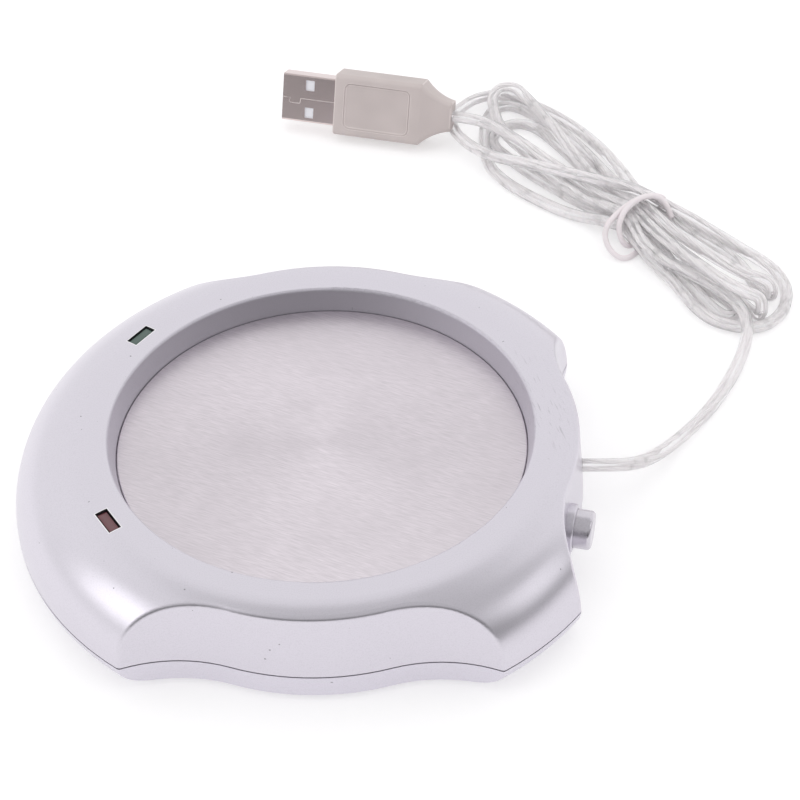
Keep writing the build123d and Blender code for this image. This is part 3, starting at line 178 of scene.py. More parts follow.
WINDOW_HALF = (1.25, 2.95, 0.0)  # half an opening in mm, towards the rim and along it
RECESS_RADIUS = 42.5 * MM
RUBBED = (Vector((44.5, 6.0, 21.5)) * MM, math.radians(-72.0), 6.5 * MM)  # middle, direction, reach across

# old smudges on the plate: middle and reach in mm, and how dark they are
PLATE_MARKS = (
    ((-4.6, 10.9, 17.0), 5.5, 0.2),
    ((-16.0, -0.4, 17.0), 6.0, 0.16),
    ((0.4, -27.0, 17.0), 5.0, 0.14),
)

# the rolled shell's seam on its wide face, in mm: from the grip's front towards the tip, and across
SEAM_ROUTE = [
    (13.7, 0.0), (11.8, 0.0), (12.05, 1.0), (11.7, 1.3), (9.4, 1.3), (9.2, 1.0), (9.1, 0.0), (0.05, 0.0),
]
PLUG_FRONT = (-3.2, 134.1, 8.4)  # middle of the grip's front face, in mm
PLUG_AXIS = Vector((-0.9735, 0.2287, 0.0)).normalized()
PLUG_LEAN = math.radians(20.3)
SHELL_HEIGHT = 4.5  # mm

HANK_TURN = math.radians(-42.6)
TIE_PLACE = (68.2, 91.0)  # mm


def metres(point):
    """A point of the case's frame, from millimetres."""
    return Vector(point) * MM


def on_hank(point):
    """A point given along the hank, across it and above the table, as a point of the case's frame."""
    along, across, height = point
    x = TIE_PLACE[0] + along * math.cos(HANK_TURN) - across * math.sin(HANK_TURN)
    y = TIE_PLACE[1] + along * math.sin(HANK_TURN) + across * math.cos(HANK_TURN)
    return metres((x, y, height))


# ------------------------------------------------------------------ colour and node helpers


def tint(hex_text):
    """Linear colour of an sRGB hex value."""
    parts = [int(hex_text[at : at + 2], 16) / 255 for at in (0, 2, 4)]
    return [part / 12.92 if part <= 0.04045 else ((part + 0.055) / 1.055) ** 2.4 for part in parts]


def rgba(colour, share=1.0):
    """A linear colour, or a share of it, with full opacity."""
    return (*[part * share for part in colour], 1.0)


def add(tree, kind, inputs=None, links=None, **settings):
    """A node with its settings, its input values and the outputs that feed its inputs."""
    node = tree.nodes.new(kind)
    for name, value in settings.items():
        setattr(node, name, value)
    for name, value in (inputs or {}).items():
        node.inputs[name].default_value = value
    for name, output in (links or {}).items():
        tree.links.new(output, node.inputs[name])
    return node


def feed(tree, socket, value):
    """A socket that gets another socket's value or a plain one."""
    if isinstance(value, bpy.types.NodeSocket):
        tree.links.new(value, socket)
    else:
        socket.default_value = value


def new_material(name, colour, **inputs):
    """A material with one Principled shader whose uniform values are set on its sockets."""
    material = bpy.data.materials.new(name)
    material.use_nodes = True
    shader = material.node_tree.nodes["Principled BSDF"]
    shader.inputs["Base Color"].default_value = rgba(colour)
    for socket, value in inputs.items():
        shader.inputs[socket.replace("_", " ")].default_value = value
    material.diffuse_color = rgba(colour)
    return material, material.node_tree, shader


def object_place(tree, turn=0.0, stretch=(1.0, 1.0, 1.0), origin=(0.0, 0.0, 0.0)):
    """Object coordinates, moved, turned about Z and stretched."""
    coordinates = add(tree, "ShaderNodeTexCoord").outputs["Object"]
    moved = add(
        tree, "ShaderNodeVectorMath", {1: [-part for part in origin]}, {0: coordinates}, operation="ADD"
    )
    turned = add(tree, "ShaderNodeMapping", {"Rotation": (0.0, 0.0, -turn)}, {"Vector": moved.outputs[0]})
    stretched = add(
        tree, "ShaderNodeVectorMath", {1: stretch}, {0: turned.outputs[0]}, operation="MULTIPLY"
    )
    return stretched.outputs[0]


def split(tree, place):
    """X, Y and Z of a vector."""
    return add(tree, "ShaderNodeSeparateXYZ", links={0: place}).outputs


def distance(tree, place):
    """Length of a vector."""
    return add(tree, "ShaderNodeVectorMath", links={0: place}, operation="LENGTH").outputs["Value"]


def mixed(tree, first, second, factor):
    """Two colours or sockets mixed by a socket or a number."""
    node = add(tree, "ShaderNodeMix", data_type="RGBA")
    for name, value in (("A", first), ("B", second), ("Factor", factor)):
        feed(tree, next(one for one in node.inputs if one.name == name and one.enabled), value)
    return next(one for one in node.outputs if one.enabled)


def noise(tree, vector, grain, detail=2.0, roughness=0.5):
    """Noise whose grain is given in metres."""
    return add(
        tree,
        "ShaderNodeTexNoise",
        {"Scale": 1.0 / grain, "Detail": detail, "Roughness": roughness},
        {"Vector": vector},
    ).outputs["Fac"]


def bump(tree, shader, height, depth):
    """Small relief of the shader's surface, with its depth in metres."""
    node = add(tree, "ShaderNodeBump", {"Strength": 1.0, "Distance": depth}, {"Height": height})
    tree.links.new(node.outputs["Normal"], shader.inputs["Normal"])


def span(tree, value, low, high, to_low=0.0, to_high=1.0):
    """A value brought from one span to another, held at its ends."""
    return add(
        tree,
        "ShaderNodeMapRange",
        {"From Min": low, "From Max": high, "To Min": to_low, "To Max": to_high},
        {"Value": value},
    ).outputs[0]


def maths(tree, operation, first, second):
    """Two values, each a socket or a number, brought together by an operation."""
    node = add(tree, "ShaderNodeMath", operation=operation)
    for socket, value in zip(node.inputs, (first, second)):
        feed(tree, socket, value)
    return node.outputs[0]


def times(tree, first, second):
    """Product of two values."""
    return maths(tree, "MULTIPLY", first, second)


def larger(tree, first, second):
    """The larger of two values."""
    return maths(tree, "MAXIMUM", first, second)


def rectangle_gap(tree, middle, turn, half):
    """How far a point lies outside a rectangle that is turned about Z, in metres; negative inside."""
    place = object_place(tree, turn=turn, origin=middle)
    across = add(tree, "ShaderNodeVectorMath", links={0: place}, operation="ABSOLUTE")
    beyond = add(tree, "ShaderNodeVectorMath", {1: half}, {0: across.outputs[0]}, operation="SUBTRACT")
    parts = split(tree, beyond.outputs[0])
    return larger(tree, parts[0], parts[1])


def mottle(tree, shader, colour, share, mask):
    """The shader's colour, which goes to a share of itself where the mask is one."""
    tree.links.new(mixed(tree, rgba(colour), rgba(colour, share), mask), shader.inputs["Base Color"])


# ------------------------------------------------------------------ materials


def silver_paint(name, colour, windows=(), recess=None, rub=None, gloss=0.285):
    """Silver-painted ABS: a soft metallic gloss with hardly any grain, painted shade on the steep wall of the
    recess and dull along its rim, a painted white highlight along the window openings and painted shade in
    them, with rubs and a few dark specks."""
    material, tree, shader = new_material(
        name, colour, Metallic=0.8, Roughness=gloss, Coat_Weight=0.08, Coat_Roughness=0.3
    )
    place = object_place(tree)
    # real flakes are 0.03 mm across; drawn coarser to show at all
    flakes = noise(tree, place, grain=0.25 * MM, detail=0.0)
    shade = mixed(tree, rgba(colour), rgba(colour, 0.94), span(tree, flakes, 0.4, 0.8))
    specks = noise(tree, place, grain=0.8 * MM, detail=0.0)
    shade = mixed(tree, shade, rgba(colour, 0.3), span(tree, specks, 0.885, 0.9, 0.0, 0.8))
    patches = noise(tree, place, grain=16.0 * MM, detail=1.0)
    gloss_map = span(tree, patches, 0.3, 0.7, gloss, gloss + 0.02)
    if recess:
        radius, rim_height = recess
        away = distance(tree, object_place(tree, stretch=(1.0, 1.0, 0.0)))
        inside = span(tree, away, radius + 0.8 * MM, radius + 0.6 * MM)
        _, depth, height = split(tree, place)
        below = span(tree, height, rim_height - 0.2 * MM, rim_height - 0.5 * MM)
        recess_shade = span(tree, depth, 0.0, radius, 0.15, 0.72)  # painted shade, darkest at the back
        shade = mixed(tree, shade, rgba(colour, 0.62), times(tree, recess_shade, times(tree, inside, below)))
        dull = span(tree, height, rim_height - 0.1 * MM, rim_height - 0.02 * MM, 0.6, 0.0)
        gloss_map = larger(tree, gloss_map, times(tree, inside, dull))
    if rub:
        middle, turn, reach = rub
        lines = noise(
            tree, object_place(tree, turn=turn, stretch=(0.12, 1.0, 1.0)), grain=0.45 * MM, detail=2.0
        )
        away = distance(tree, object_place(tree, turn=turn, origin=middle, stretch=(0.3, 1.0, 1.0)))
        near = span(tree, away, reach, 0.2 * reach)
        scuffs = times(tree, span(tree, lines, 0.6, 0.72), near)
        shade = mixed(tree, shade, rgba(colour, 0.5), times(tree, scuffs, 0.55))
    for window in windows:
        gap = rectangle_gap(tree, *window)
        # painted highlight: a white line round each window opening
        window_highlight = span(tree, gap, 0.24 * MM, 0.14 * MM, 0.0, 0.85)
        shade = mixed(tree, shade, rgba(tint("FFFFFF")), window_highlight)
        # painted shade: the walls of the opening go dark
        opening_shade = span(tree, gap, 0.06 * MM, 0.02 * MM)
        shade = mixed(tree, shade, rgba(colour, 0.2), opening_shade)
    tree.links.new(shade, shader.inputs["Base Color"])
    tree.links.new(gloss_map, shader.inputs["Roughness"])
    peel = noise(tree, place, grain=2.2 * MM, detail=1.0)
    bump(tree, shader, peel, 0.003 * MM)
    return material


def brushed_aluminium(name, colour, turn, marks):
    """Brushed aluminium sheet: short fine hairlines one way, a soft even shine, faint clouds, old smudges."""
    material, tree, shader = new_material(name, colour, Metallic=1.0, Roughness=0.46, Anisotropic=0.35)
    along = object_place(tree, turn=turn, stretch=(0.08, 1.0, 1.0))
    # hairlines of 0.05 mm, drawn five times as coarse
    hairs = noise(tree, along, grain=0.24 * MM, detail=2.0, roughness=0.6)
    along = object_place(tree, turn=turn, stretch=(0.12, 1.0, 1.0))
    bands = noise(tree, along, grain=0.7 * MM, detail=2.0)
    drift = noise(tree, object_place(tree), grain=20.0 * MM, detail=3.0)
    light = [min(1.0, part * 1.12) for part in colour]
    dark = rgba(colour, 0.85)
    shade = mixed(tree, dark, rgba(light), span(tree, hairs, 0.25, 0.75))
    shade = mixed(tree, shade, dark, span(tree, bands, 0.45, 0.8, 0.0, 0.25))
    shade = mixed(tree, shade, rgba(colour, 0.86), span(tree, drift, 0.45, 0.75, 0.0, 0.4))
    for spot, width, depth in marks:
        reach = width * MM
        gap = distance(tree, object_place(tree, origin=metres(spot)))
        ragged = maths(tree, "ADD", gap, span(tree, drift, 0.3, 0.7, -0.5 * reach, 0.5 * reach))
        shade = mixed(tree, shade, rgba(colour, 0.7), span(tree, ragged, reach, 0.1 * reach, 0.0, depth))
    tree.links.new(shade, shader.inputs["Base Color"])
    tree.links.new(span(tree, hairs, 0.3, 0.7, 0.42, 0.5), shader.inputs["Roughness"])
    bump(tree, shader, hairs, 0.004 * MM)
    return material


def tinted_acrylic(name, colour, window=None):
    """Dark translucent acrylic, moulded: a deep colour under a clear gloss, paler in the middle of a window
    as a painted reflection and blackish along its edges as painted shade."""
    material, tree, shader = new_material(
        name, colour, Roughness=0.2, IOR=1.49, Coat_Weight=0.5, Coat_Roughness=0.1
    )
    cloud = noise(tree, object_place(tree), grain=1.6 * MM, detail=1.0)
    shade = mixed(tree, rgba(colour), rgba(colour, 0.6), span(tree, cloud, 0.4, 0.7, 0.0, 0.5))
    if window:
        gap = rectangle_gap(tree, *window)
        # painted reflection: paler towards the middle of the window
        reflected_grey, reflection_share = 0.16, 0.25
        milky = [(1.0 - reflection_share) * part + reflection_share * reflected_grey for part in colour]
        shade = mixed(tree, shade, rgba(milky), span(tree, gap, -0.3 * MM, -1.0 * MM, 0.0, 0.8))
        # painted shade: blackish along the window's edges
        shade = mixed(tree, shade, rgba(colour, 0.3), span(tree, gap, -0.5 * MM, -0.1 * MM, 0.0, 0.8))
    tree.links.new(shade, shader.inputs["Base Color"])
    bump(tree, shader, cloud, 0.01 * MM)
    return material


def clear_pvc(name, colour, clear_end=None):
    """Clear plasticised PVC, extruded: bright edges and a milky skin, clearer where it leaves the case."""
    milky, clear = 0.84, 0.93
    material, tree, shader = new_material(name, colour, Roughness=0.15, IOR=1.46, Transmission_Weight=milky)
    skin = noise(tree, object_place(tree), grain=2.5 * MM, detail=1.0)
    mottle(tree, shader, colour, 0.98, span(tree, skin, 0.4, 0.7))
    if clear_end:
        away = distance(tree, object_place(tree, origin=clear_end))
        weight = span(tree, away, 30.0 * MM, 55.0 * MM, clear, milky)
        tree.links.new(weight, shader.inputs["Transmission Weight"])
    bump(tree, shader, skin, 0.01 * MM)
    return material


def tinned_copper(name, colour):
    """Fine copper wires, dip-tinned: silvery white, with bright and dull stretches."""
    material, tree, shader = new_material(name, colour, Metallic=0.35, Roughness=0.42)
    stretches = noise(tree, object_place(tree), grain=3.0 * MM, detail=2.0)
    mottle(tree, shader, colour, 0.7, span(tree, stretches, 0.55, 0.75))
    tree.links.new(span(tree, stretches, 0.3, 0.7, 0.36, 0.5), shader.inputs["Roughness"])
    return material


def moulded_plastic(name, colour, roughness=0.5, grain=0.35):
    """Injection-moulded plastic: even colour under a fine spark-eroded grain."""
    material, tree, shader = new_material(name, colour, Roughness=roughness, IOR=1.5)
    grains = noise(tree, object_place(tree), grain=grain * MM, detail=1.0)
    clouds = noise(tree, object_place(tree), grain=9.0 * MM, detail=1.0)
    mottle(tree, shader, colour, 0.92, span(tree, clouds, 0.35, 0.7))
    bump(tree, shader, grains, 0.008 * MM)
    return material


def nickel_plate(name, colour):
    """Nickel-plated steel strip, rolled: darkish mirror, softened by fine lines along the strip."""
    material, tree, shader = new_material(name, colour, Metallic=1.0, Roughness=0.24)
    along = object_place(tree, turn=math.radians(-12.2), stretch=(0.06, 1.0, 1.0))
    lines = noise(tree, along, grain=0.3 * MM, detail=1.0)
    mottle(tree, shader, colour, 0.96, span(tree, lines, 0.35, 0.7))
    tree.links.new(span(tree, lines, 0.3, 0.7, 0.26, 0.27), shader.inputs["Roughness"])
    return material


def plated_metal(name, colour, roughness=0.3):
    """Small zinc, tin or steel parts: bright metal with a cloudy plating."""
    material, tree, shader = new_material(name, colour, Metallic=1.0, Roughness=roughness)
    clouds = noise(tree, object_place(tree), grain=1.4 * MM, detail=2.0)
    mottle(tree, shader, colour, 0.8, span(tree, clouds, 0.4, 0.7))
    cloudy = span(tree, clouds, 0.3, 0.7, roughness * 0.95, roughness * 1.3)
    tree.links.new(cloudy, shader.inputs["Roughness"])
    return material


def soft_rubber(name, colour):
    """Matt rubber pad, moulded: dark, with a dusty bloom."""
    material, tree, shader = new_material(name, colour, Roughness=0.85, IOR=1.52, Sheen_Weight=0.1)
    dust = noise(tree, object_place(tree), grain=1.2 * MM, detail=3.0)
    dusty = rgba([min(1.0, part * 1.7 + 0.01) for part in colour])
    tree.links.new(mixed(tree, rgba(colour), dusty, span(tree, dust, 0.45, 0.8)), shader.inputs["Base Color"])
    bump(tree, shader, dust, 0.02 * MM)
    return material


def woven_glass(name, colour):
    """Glass fibre cloth: matt white threads, 0.6 mm apart, over and under."""
    material, tree, shader = new_material(name, colour, Roughness=0.9, IOR=1.5, Sheen_Weight=0.2)
    threads = []
    for turn in (0.0, math.pi / 2):
        place = object_place(tree, turn=turn, stretch=(1.0 / (0.6 * MM), 0.0, 0.0))
        threads.append(add(tree, "ShaderNodeTexWave", {"Scale": 1.0}, {"Vector": place}).outputs["Fac"])
    weave = times(tree, *threads)
    tree.links.new(mixed(tree, rgba(colour, 0.8), rgba(colour), weave), shader.inputs["Base Color"])
    bump(tree, shader, weave, 0.05 * MM)
    return material


def layered_sheet(name, colour):
    """Pressed mica or paper laminate: flaky layers with darker islands."""
    material, tree, shader = new_material(name, colour, Roughness=0.45, IOR=1.56)
    flat = object_place(tree, stretch=(1.0, 1.0, 0.2))
    flakes = noise(tree, flat, grain=3.0 * MM, detail=4.0, roughness=0.6)
    mottle(tree, shader, colour, 0.7, span(tree, flakes, 0.4, 0.7))
    bump(tree, shader, flakes, 0.02 * MM)
    return material


def clothe(material, *names):
    """Gives CAD nodes a material in every slot they have."""
    for name in names:
        mesh = NODES[name].data
        if not mesh.materials:
            mesh.materials.append(material)
        for at in range(len(mesh.materials)):
            mesh.materials[at] = material


# ------------------------------------------------------------------ places on the case


def window_places():
    """For each window: its middle, its turn about Z, and half its opening towards the rim and along it."""
    places = []
    for name in ("red_lens", "green_lens"):
        low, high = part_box(name)
        middle = (Vector(low) + Vector(high)) / 2
        turn = math.atan2(middle.y, middle.x)
        places.append((middle, turn, metres(WINDOW_HALF)))
    return places


# ------------------------------------------------------------------ shapes


def link(piece):
    """Puts an object in the scene."""
    bpy.context.scene.collection.objects.link(piece)
    return piece


def wire_curve(name, radius, sides, caps=True):
    """A curve whose splines become round wires."""
    curve = bpy.data.curves.new(name, "CURVE")
    curve.dimensions = "3D"
    curve.bevel_depth = radius
    curve.bevel_resolution = sides
    curve.use_fill_caps = caps
    return curve


def add_spline(curve, kind, places):
    """A spline with a point at each place."""
    spline = curve.splines.new(kind)
    spline.points.add(len(places) - 1)
    for point, place in zip(spline.points, places):
        point.co = (*place, 1.0)
    return spline


def route_curve(name, places, radius, sides):
    """An open NURBS spline of order three that ends on its first and last points."""
    curve = wire_curve(name, radius, sides)
    curve.resolution_u = 6
    spline = add_spline(curve, "NURBS", places)
    spline.order_u = 3
    spline.use_endpoint_u = True
    spline.use_smooth = True
    return link(bpy.data.objects.new(name, curve))


def followed_points(name, places):
    """Points along the NURBS line of a route, read from the line itself."""
    bare = route_curve(name, places, 0.0, 0)
    mesh = bpy.data.meshes.new_from_object(bare)
    followed = [vertex.co.copy() for vertex in mesh.vertices]
    bpy.data.objects.remove(bare)
    bpy.data.meshes.remove(mesh)
    return followed


def carried_frames(line):
    """For each point of a line: the point, the way done so far, and two directions across, carried along."""
    frames = []
    across = None
    way = 0.0
    for at, point in enumerate(line):
        ahead = (line[min(at + 1, len(line) - 1)] - line[max(at - 1, 0)]).normalized()
        if across is None:
            across = ahead.orthogonal()
        else:
            way += (point - line[at - 1]).length
        across = (across - ahead * across.dot(ahead)).normalized()
        frames.append((point, way, across, ahead.cross(across)))
    return frames


def twisted_wires(name, line, sizes):
    """Two conductors twisted round each other inside the cord, each of a few twisted wires."""
    curve = wire_curve(name, sizes.wire_diameter / 2, 1, caps=False)
    frames = carried_frames(line)
    for conductor in range(2):
        for wire in range(sizes.wires_each):
            places = []
            for place, way, across, up in frames:
                turn = math.tau * (way / sizes.conductor_lay + conductor / 2)
                own = turn + math.tau * (way / sizes.wire_lay + wire / sizes.wires_each)
                offset = Vector((math.cos(turn), math.sin(turn))) * sizes.conductor_offset
                offset += Vector((math.cos(own), math.sin(own))) * sizes.wire_offset
                places.append(place + across * offset.x + up * offset.y)
            add_spline(curve, "POLY", places).use_smooth = True
    return link(bpy.data.objects.new(name, curve))


def shell_seam(name, width):
    """The jigsaw seam along the shell's wide face as a thin wire half sunk in the sheet, which carries a
    painted highlight of the seam's edge.
    """
    level = Vector((-PLUG_AXIS.y, PLUG_AXIS.x, 0.0))
    out = level * math.cos(PLUG_LEAN) + Vector((0.0, 0.0, math.sin(PLUG_LEAN)))
    across = out.cross(PLUG_AXIS)
    places = [
        metres(Vector(PLUG_FRONT) + PLUG_AXIS * along + across * aside + out * SHELL_HEIGHT / 2)
        for along, aside in SEAM_ROUTE
    ]
    curve = wire_curve(name, width / 2, 2)
    add_spline(curve, "POLY", places)
    return link(bpy.data.objects.new(name, curve))


def is_sharp(edge):
    """True for an edge between two faces that meet at more than thirty degrees."""
    return len(edge.link_faces) == 2 and edge.calc_face_angle(0.0) > math.radians(30.0)


def eased_copy(name, node, width):
    """A CAD node's shape with its sharp edges rounded, the rounded faces in the second material slot."""
    mesh = NODES[node].data.copy()
    mesh.name = name
    mesh.materials.clear()
    shape = bmesh.new()
    shape.from_mesh(mesh)
    bmesh.ops.remove_doubles(shape, verts=shape.verts, dist=0.002 * MM)
    bmesh.ops.dissolve_limit(shape, angle_limit=math.radians(0.5), verts=shape.verts, edges=shape.edges)
    eased = bmesh.ops.bevel(
        shape,
        geom=[edge for edge in shape.edges if is_sharp(edge)],
        offset=width,
        offset_type="OFFSET",
        segments=3,
        profile=0.5,
        affect="EDGES",
        material=-1,
        clamp_overlap=False,
    )
    for face in eased["faces"]:
        face.material_index = 1
    shape.to_mesh(mesh)
    shape.free()
    mesh.shade_smooth()
    mesh.set_sharp_from_angle(angle=math.radians(35.0))
    return link(bpy.data.objects.new(name, mesh))


# ------------------------------------------------------------------ values that a user may change


class WarmerSizes(bpy.types.PropertyGroup):
    """Sizes of the pieces that the scene adds."""

    cord_diameter: FloatProperty(
        name="Cord diameter", description="Outside of the clear jacket", default=2.8 * MM, unit="LENGTH"
    )
    cord_length: FloatProperty(
        name="Cord length", description="From the case to the plug", default=1.057, unit="LENGTH"
    )
    wire_diameter: FloatProperty(
        name="Wire diameter", description="One wire of a conductor", default=0.4 * MM, unit="LENGTH"
    )
    wire_offset: FloatProperty(
        name="Wire offset", description="From a conductor's middle to its wires", default=0.24 * MM,
        unit="LENGTH"
    )
    wire_lay: FloatProperty(
        name="Wire lay", description="Length in which a wire goes once round", default=24.0 * MM,
        unit="LENGTH"
    )
    wires_each: IntProperty(name="Wires", description="Wires in each conductor", default=4, min=1)
    conductor_offset: FloatProperty(
        name="Conductor offset", description="From the cord's middle to a conductor", default=0.6 * MM,
        unit="LENGTH"
    )
    conductor_lay: FloatProperty(
        name="Conductor lay", description="Length in which the conductors go once round", default=64.0 * MM,
        unit="LENGTH"
    )
    seam_width: FloatProperty(
        name="Seam width", description="Bright edge of the plug shell's seam", default=0.16 * MM,
        unit="LENGTH"
    )
    grip_ease: FloatProperty(
        name="Grip rounding", description="Rounding of the plug grip's edges", default=0.35 * MM,
        unit="LENGTH"
    )
    tie_diameter: FloatProperty(
        name="Tie diameter", description="Plastic covered wire of the tie", default=1.4 * MM, unit="LENGTH"
    )
    brushing_turn: FloatProperty(
        name="Brushing", description="Direction of the hairlines on the plate", default=math.radians(-22.5),
        subtype="ANGLE"
    )
    floor_width: FloatProperty(
        name="Floor width", description="Side of the square floor", default=3.0, unit="LENGTH"
    )


def colour_property(name, description, hex_text):
    """A colour that a user may change."""
    return FloatVectorProperty(
        name=name, description=description, subtype="COLOR", size=3, default=tint(hex_text)
    )


class WarmerColours(bpy.types.PropertyGroup):
    """Colours of the finishes."""

    case: colour_property("Case", "Silver paint of the case", "DAD6DF")
    # painted light: lighter than the case's paint, to lift the shade that falls low on the case
    base: colour_property("Base", "Silver paint of the base", "DEDAE4")
    button: colour_property("Button", "Silver paint of the button", "D6D2DA")
    plate: colour_property("Plate", "Brushed aluminium plate", "E6DFE5")
    red: colour_property("Red window", "Dark red acrylic", "682C35")
    green: colour_property("Green window", "Dark green acrylic", "38554C")
    jacket: colour_property("Cord jacket", "Clear PVC", "FFFEFF")
    wires: colour_property("Cord wires", "Tinned copper", "FDFAFB")
    tie: colour_property("Tie", "Plastic covered wire", "F4ECEF")
    grip: colour_property("Plug grip", "Overmoulded grip", "CABFBD")
    shell: colour_property("Plug shell", "Nickel-plated steel", "DCCECD")
    tongue: colour_property("Plug tongue", "White moulded tongue", "EEEEF4")
    floor: colour_property("Floor", "Studio floor", "D4D3D4")


def sizes():
    """The sizes in the scene."""
    return bpy.context.scene.warmer_sizes


def colours():
    """The colours in the scene."""
    return bpy.context.scene.warmer_colours


# ------------------------------------------------------------------ operators


class WARMER_OT_case(bpy.types.Operator):
    """Paints the two covers silver"""

    bl_idname = "warmer.case"
    bl_label = "Case"

    def execute(self, context):
        cover = silver_paint(
            "silver_paint", colours().case, window_places(), (RECESS_RADIUS, CAD_BOX[1][2]), RUBBED
        )
        clothe(cover, "top_cover")
        # painted light: the base's paint is a lighter copy of the case's, against the shade low down
        clothe(silver_paint("base_paint_lightened", colours().base), "base_cover")
        return {"FINISHED"}


class WARMER_OT_button(bpy.types.Operator):
    """Paints the push button"""

    bl_idname = "warmer.button"
    bl_label = "Button"

    def execute(self, context):
        clothe(silver_paint("button_paint", colours().button, gloss=0.25), "button_cap")
        return {"FINISHED"}


class WARMER_OT_plate(bpy.types.Operator):
    """Brushes the heating plate"""

    bl_idname = "warmer.plate"
    bl_label = "Heating plate"

    def execute(self, context):
        sheet = brushed_aluminium(
            "brushed_aluminium", colours().plate, sizes().brushing_turn, PLATE_MARKS
        )
        clothe(sheet, "heating_plate")
        return {"FINISHED"}


class WARMER_OT_windows(bpy.types.Operator):
    """Colours the two indicator windows"""

    bl_idname = "warmer.windows"
    bl_label = "Windows"

    def execute(self, context):
        red_place, green_place = window_places()
        clothe(tinted_acrylic("red_acrylic", colours().red, red_place), "red_lens")
        clothe(tinted_acrylic("green_acrylic", colours().green, green_place), "green_lens")
        return {"FINISHED"}


class WARMER_OT_plug(bpy.types.Operator):
    """Finishes the plug"""

    bl_idname = "warmer.plug"
    bl_label = "Plug"

    def execute(self, context):
        grip = eased_copy("plug_grip", "plug_body", sizes().grip_ease)
        grip.data.materials.append(moulded_plastic("soft_pvc_grip", colours().grip))
        grip.data.materials.append(moulded_plastic("grip_edge_highlight", tint("DACFCD"), 0.4))  # painted highlight: the rounded edges lighter, as where they catch the light
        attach(grip, BODY)
        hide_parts("plug_body")
        clothe(nickel_plate("nickel_plate", colours().shell), "plug_shell")
        clothe(moulded_plastic("white_tongue", colours().tongue, 0.4), "plug_tongue")
        clothe(plated_metal("gold_flash", tint("D9B15A"), 0.2), "plug_contacts")
        seam = shell_seam("shell_seam", sizes().seam_width)
        # painted highlight: the seam's wire is lighter than the shell
        seam.data.materials.append(plated_metal("seam_highlight", tint("F2E9E8"), 0.4))
        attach(seam, BODY)
        return {"FINISHED"}


class WARMER_OT_cord(bpy.types.Operator):
    """Lays the clear cord with its wires, folded into the hank"""

    bl_idname = "warmer.cord"
    bl_label = "Cord"

    def execute(self, context):
        route = [metres(point) for point in LEAD_ROUTE]
        route += [on_hank(point) for point in HANK_ROUTE]
        route += [metres(point) for point in TAIL_ROUTE]
        jacket = route_curve("cord_jacket", route, sizes().cord_diameter / 2, 4)
        jacket.data.materials.append(clear_pvc("clear_pvc", colours().jacket, route[0]))
        jacket.visible_shadow = False  # light reaches the wires through the clear jacket
        wires = twisted_wires("cord_wires", followed_points("cord_line", route), sizes())
        wires.data.materials.append(tinned_copper("tinned_copper", colours().wires))
        for piece in (jacket, wires):
            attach(piece, BODY)
        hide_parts("usb_cord", "cord_hank", "cord_tail")
        return {"FINISHED"}


class WARMER_OT_tie(bpy.types.Operator):
    """Winds the twist tie twice round the hank"""

    bl_idname = "warmer.tie"
    bl_label = "Twist tie"

    def execute(self, context):
        route = [on_hank(point) for point in TIE_ROUTE]
        tie = route_curve("tie_wire", route, sizes().tie_diameter / 2, 4)
        tie.data.materials.append(moulded_plastic("covered_wire", colours().tie, 0.45, 0.5))
        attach(tie, BODY)
        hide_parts("twist_tie")
        return {"FINISHED"}


class WARMER_OT_feet(bpy.types.Operator):
    """Finishes the rubber feet and the screws"""

    bl_idname = "warmer.feet"
    bl_label = "Feet and screws"

    def execute(self, context):
        clothe(soft_rubber("rubber", tint("1B1B1C")), "rubber_feet")
        zinc = plated_metal("zinc_plate", tint("C2C2C4"))
        clothe(zinc, "case_screws", "board_screws", "clamp_screws", "cord_clamp_screws")
        return {"FINISHED"}


class WARMER_OT_inside(bpy.types.Operator):
    """Finishes the heater, switch, board and leads inside the case"""

    bl_idname = "warmer.inside"
    bl_label = "Inside"

    def execute(self, context):
        clothe(plated_metal("pressed_steel", tint("B3B3B6"), 0.35), "clamp_plate")
        clothe(layered_sheet("mica", tint("B8A985")), "mica_upper", "mica_lower")
        clothe(plated_metal("resistance_ribbon", tint("8C8780"), 0.4), "heating_ribbon")
        clothe(woven_glass("glass_cloth", tint("EDEBE1")), "insulation_pad")
        clothe(layered_sheet("paper_laminate", tint("8C6B33")), "circuit_board")
        clothe(moulded_plastic("lacquer", tint("CCAD73"), 0.3), "led_resistors")
        clothe(tinted_acrylic("red_epoxy", tint("B31F1A")), "red_led")
        clothe(tinted_acrylic("green_epoxy", tint("268C33")), "green_led")
        clothe(moulded_plastic("white_nylon", tint("EBEBE6"), 0.45), "switch_body")
        clothe(moulded_plastic("white_acetal", tint("E6E6E0"), 0.35), "switch_plunger")
        clothe(plated_metal("spring_wire", tint("B8B8B8"), 0.25), "switch_spring")
        clothe(plated_metal("tinned_brass", tint("CCC7B3")), "switch_terminals")
        clothe(moulded_plastic("black_abs", tint("333336")), "cord_clamp")
        clothe(clear_pvc("clear_pvc_inside", colours().jacket), "cord_inner_end")
        red = moulded_plastic("red_insulation", tint("A61A14"), 0.45)
        clothe(red, "supply_lead_positive", "switched_lead")
        clothe(moulded_plastic("black_insulation", tint("141414"), 0.45), "supply_lead_negative")
        clothe(moulded_plastic("white_silicone", tint("E6E6E0"), 0.6), "heater_leads")
        return {"FINISHED"}


class WARMER_OT_stage(bpy.types.Operator):
    """Builds the floor, the soft lights, the world and the camera"""

    bl_idname = "warmer.stage"
    bl_label = "Studio"

    def execute(self, context):
        make_floor()
        make_card()
        make_world()
        make_lights()
        make_camera()
        context.scene.view_settings.view_transform = "Standard"
        return {"FINISHED"}


def seen_rays(tree):
    """One where a ray comes from the camera, a reflection or a refraction, and otherwise nought."""
    path = add(tree, "ShaderNodeLightPath").outputs
    return larger(
        tree, larger(tree, path["Is Camera Ray"], path["Is Glossy Ray"]), path["Is Transmission Ray"]
    )


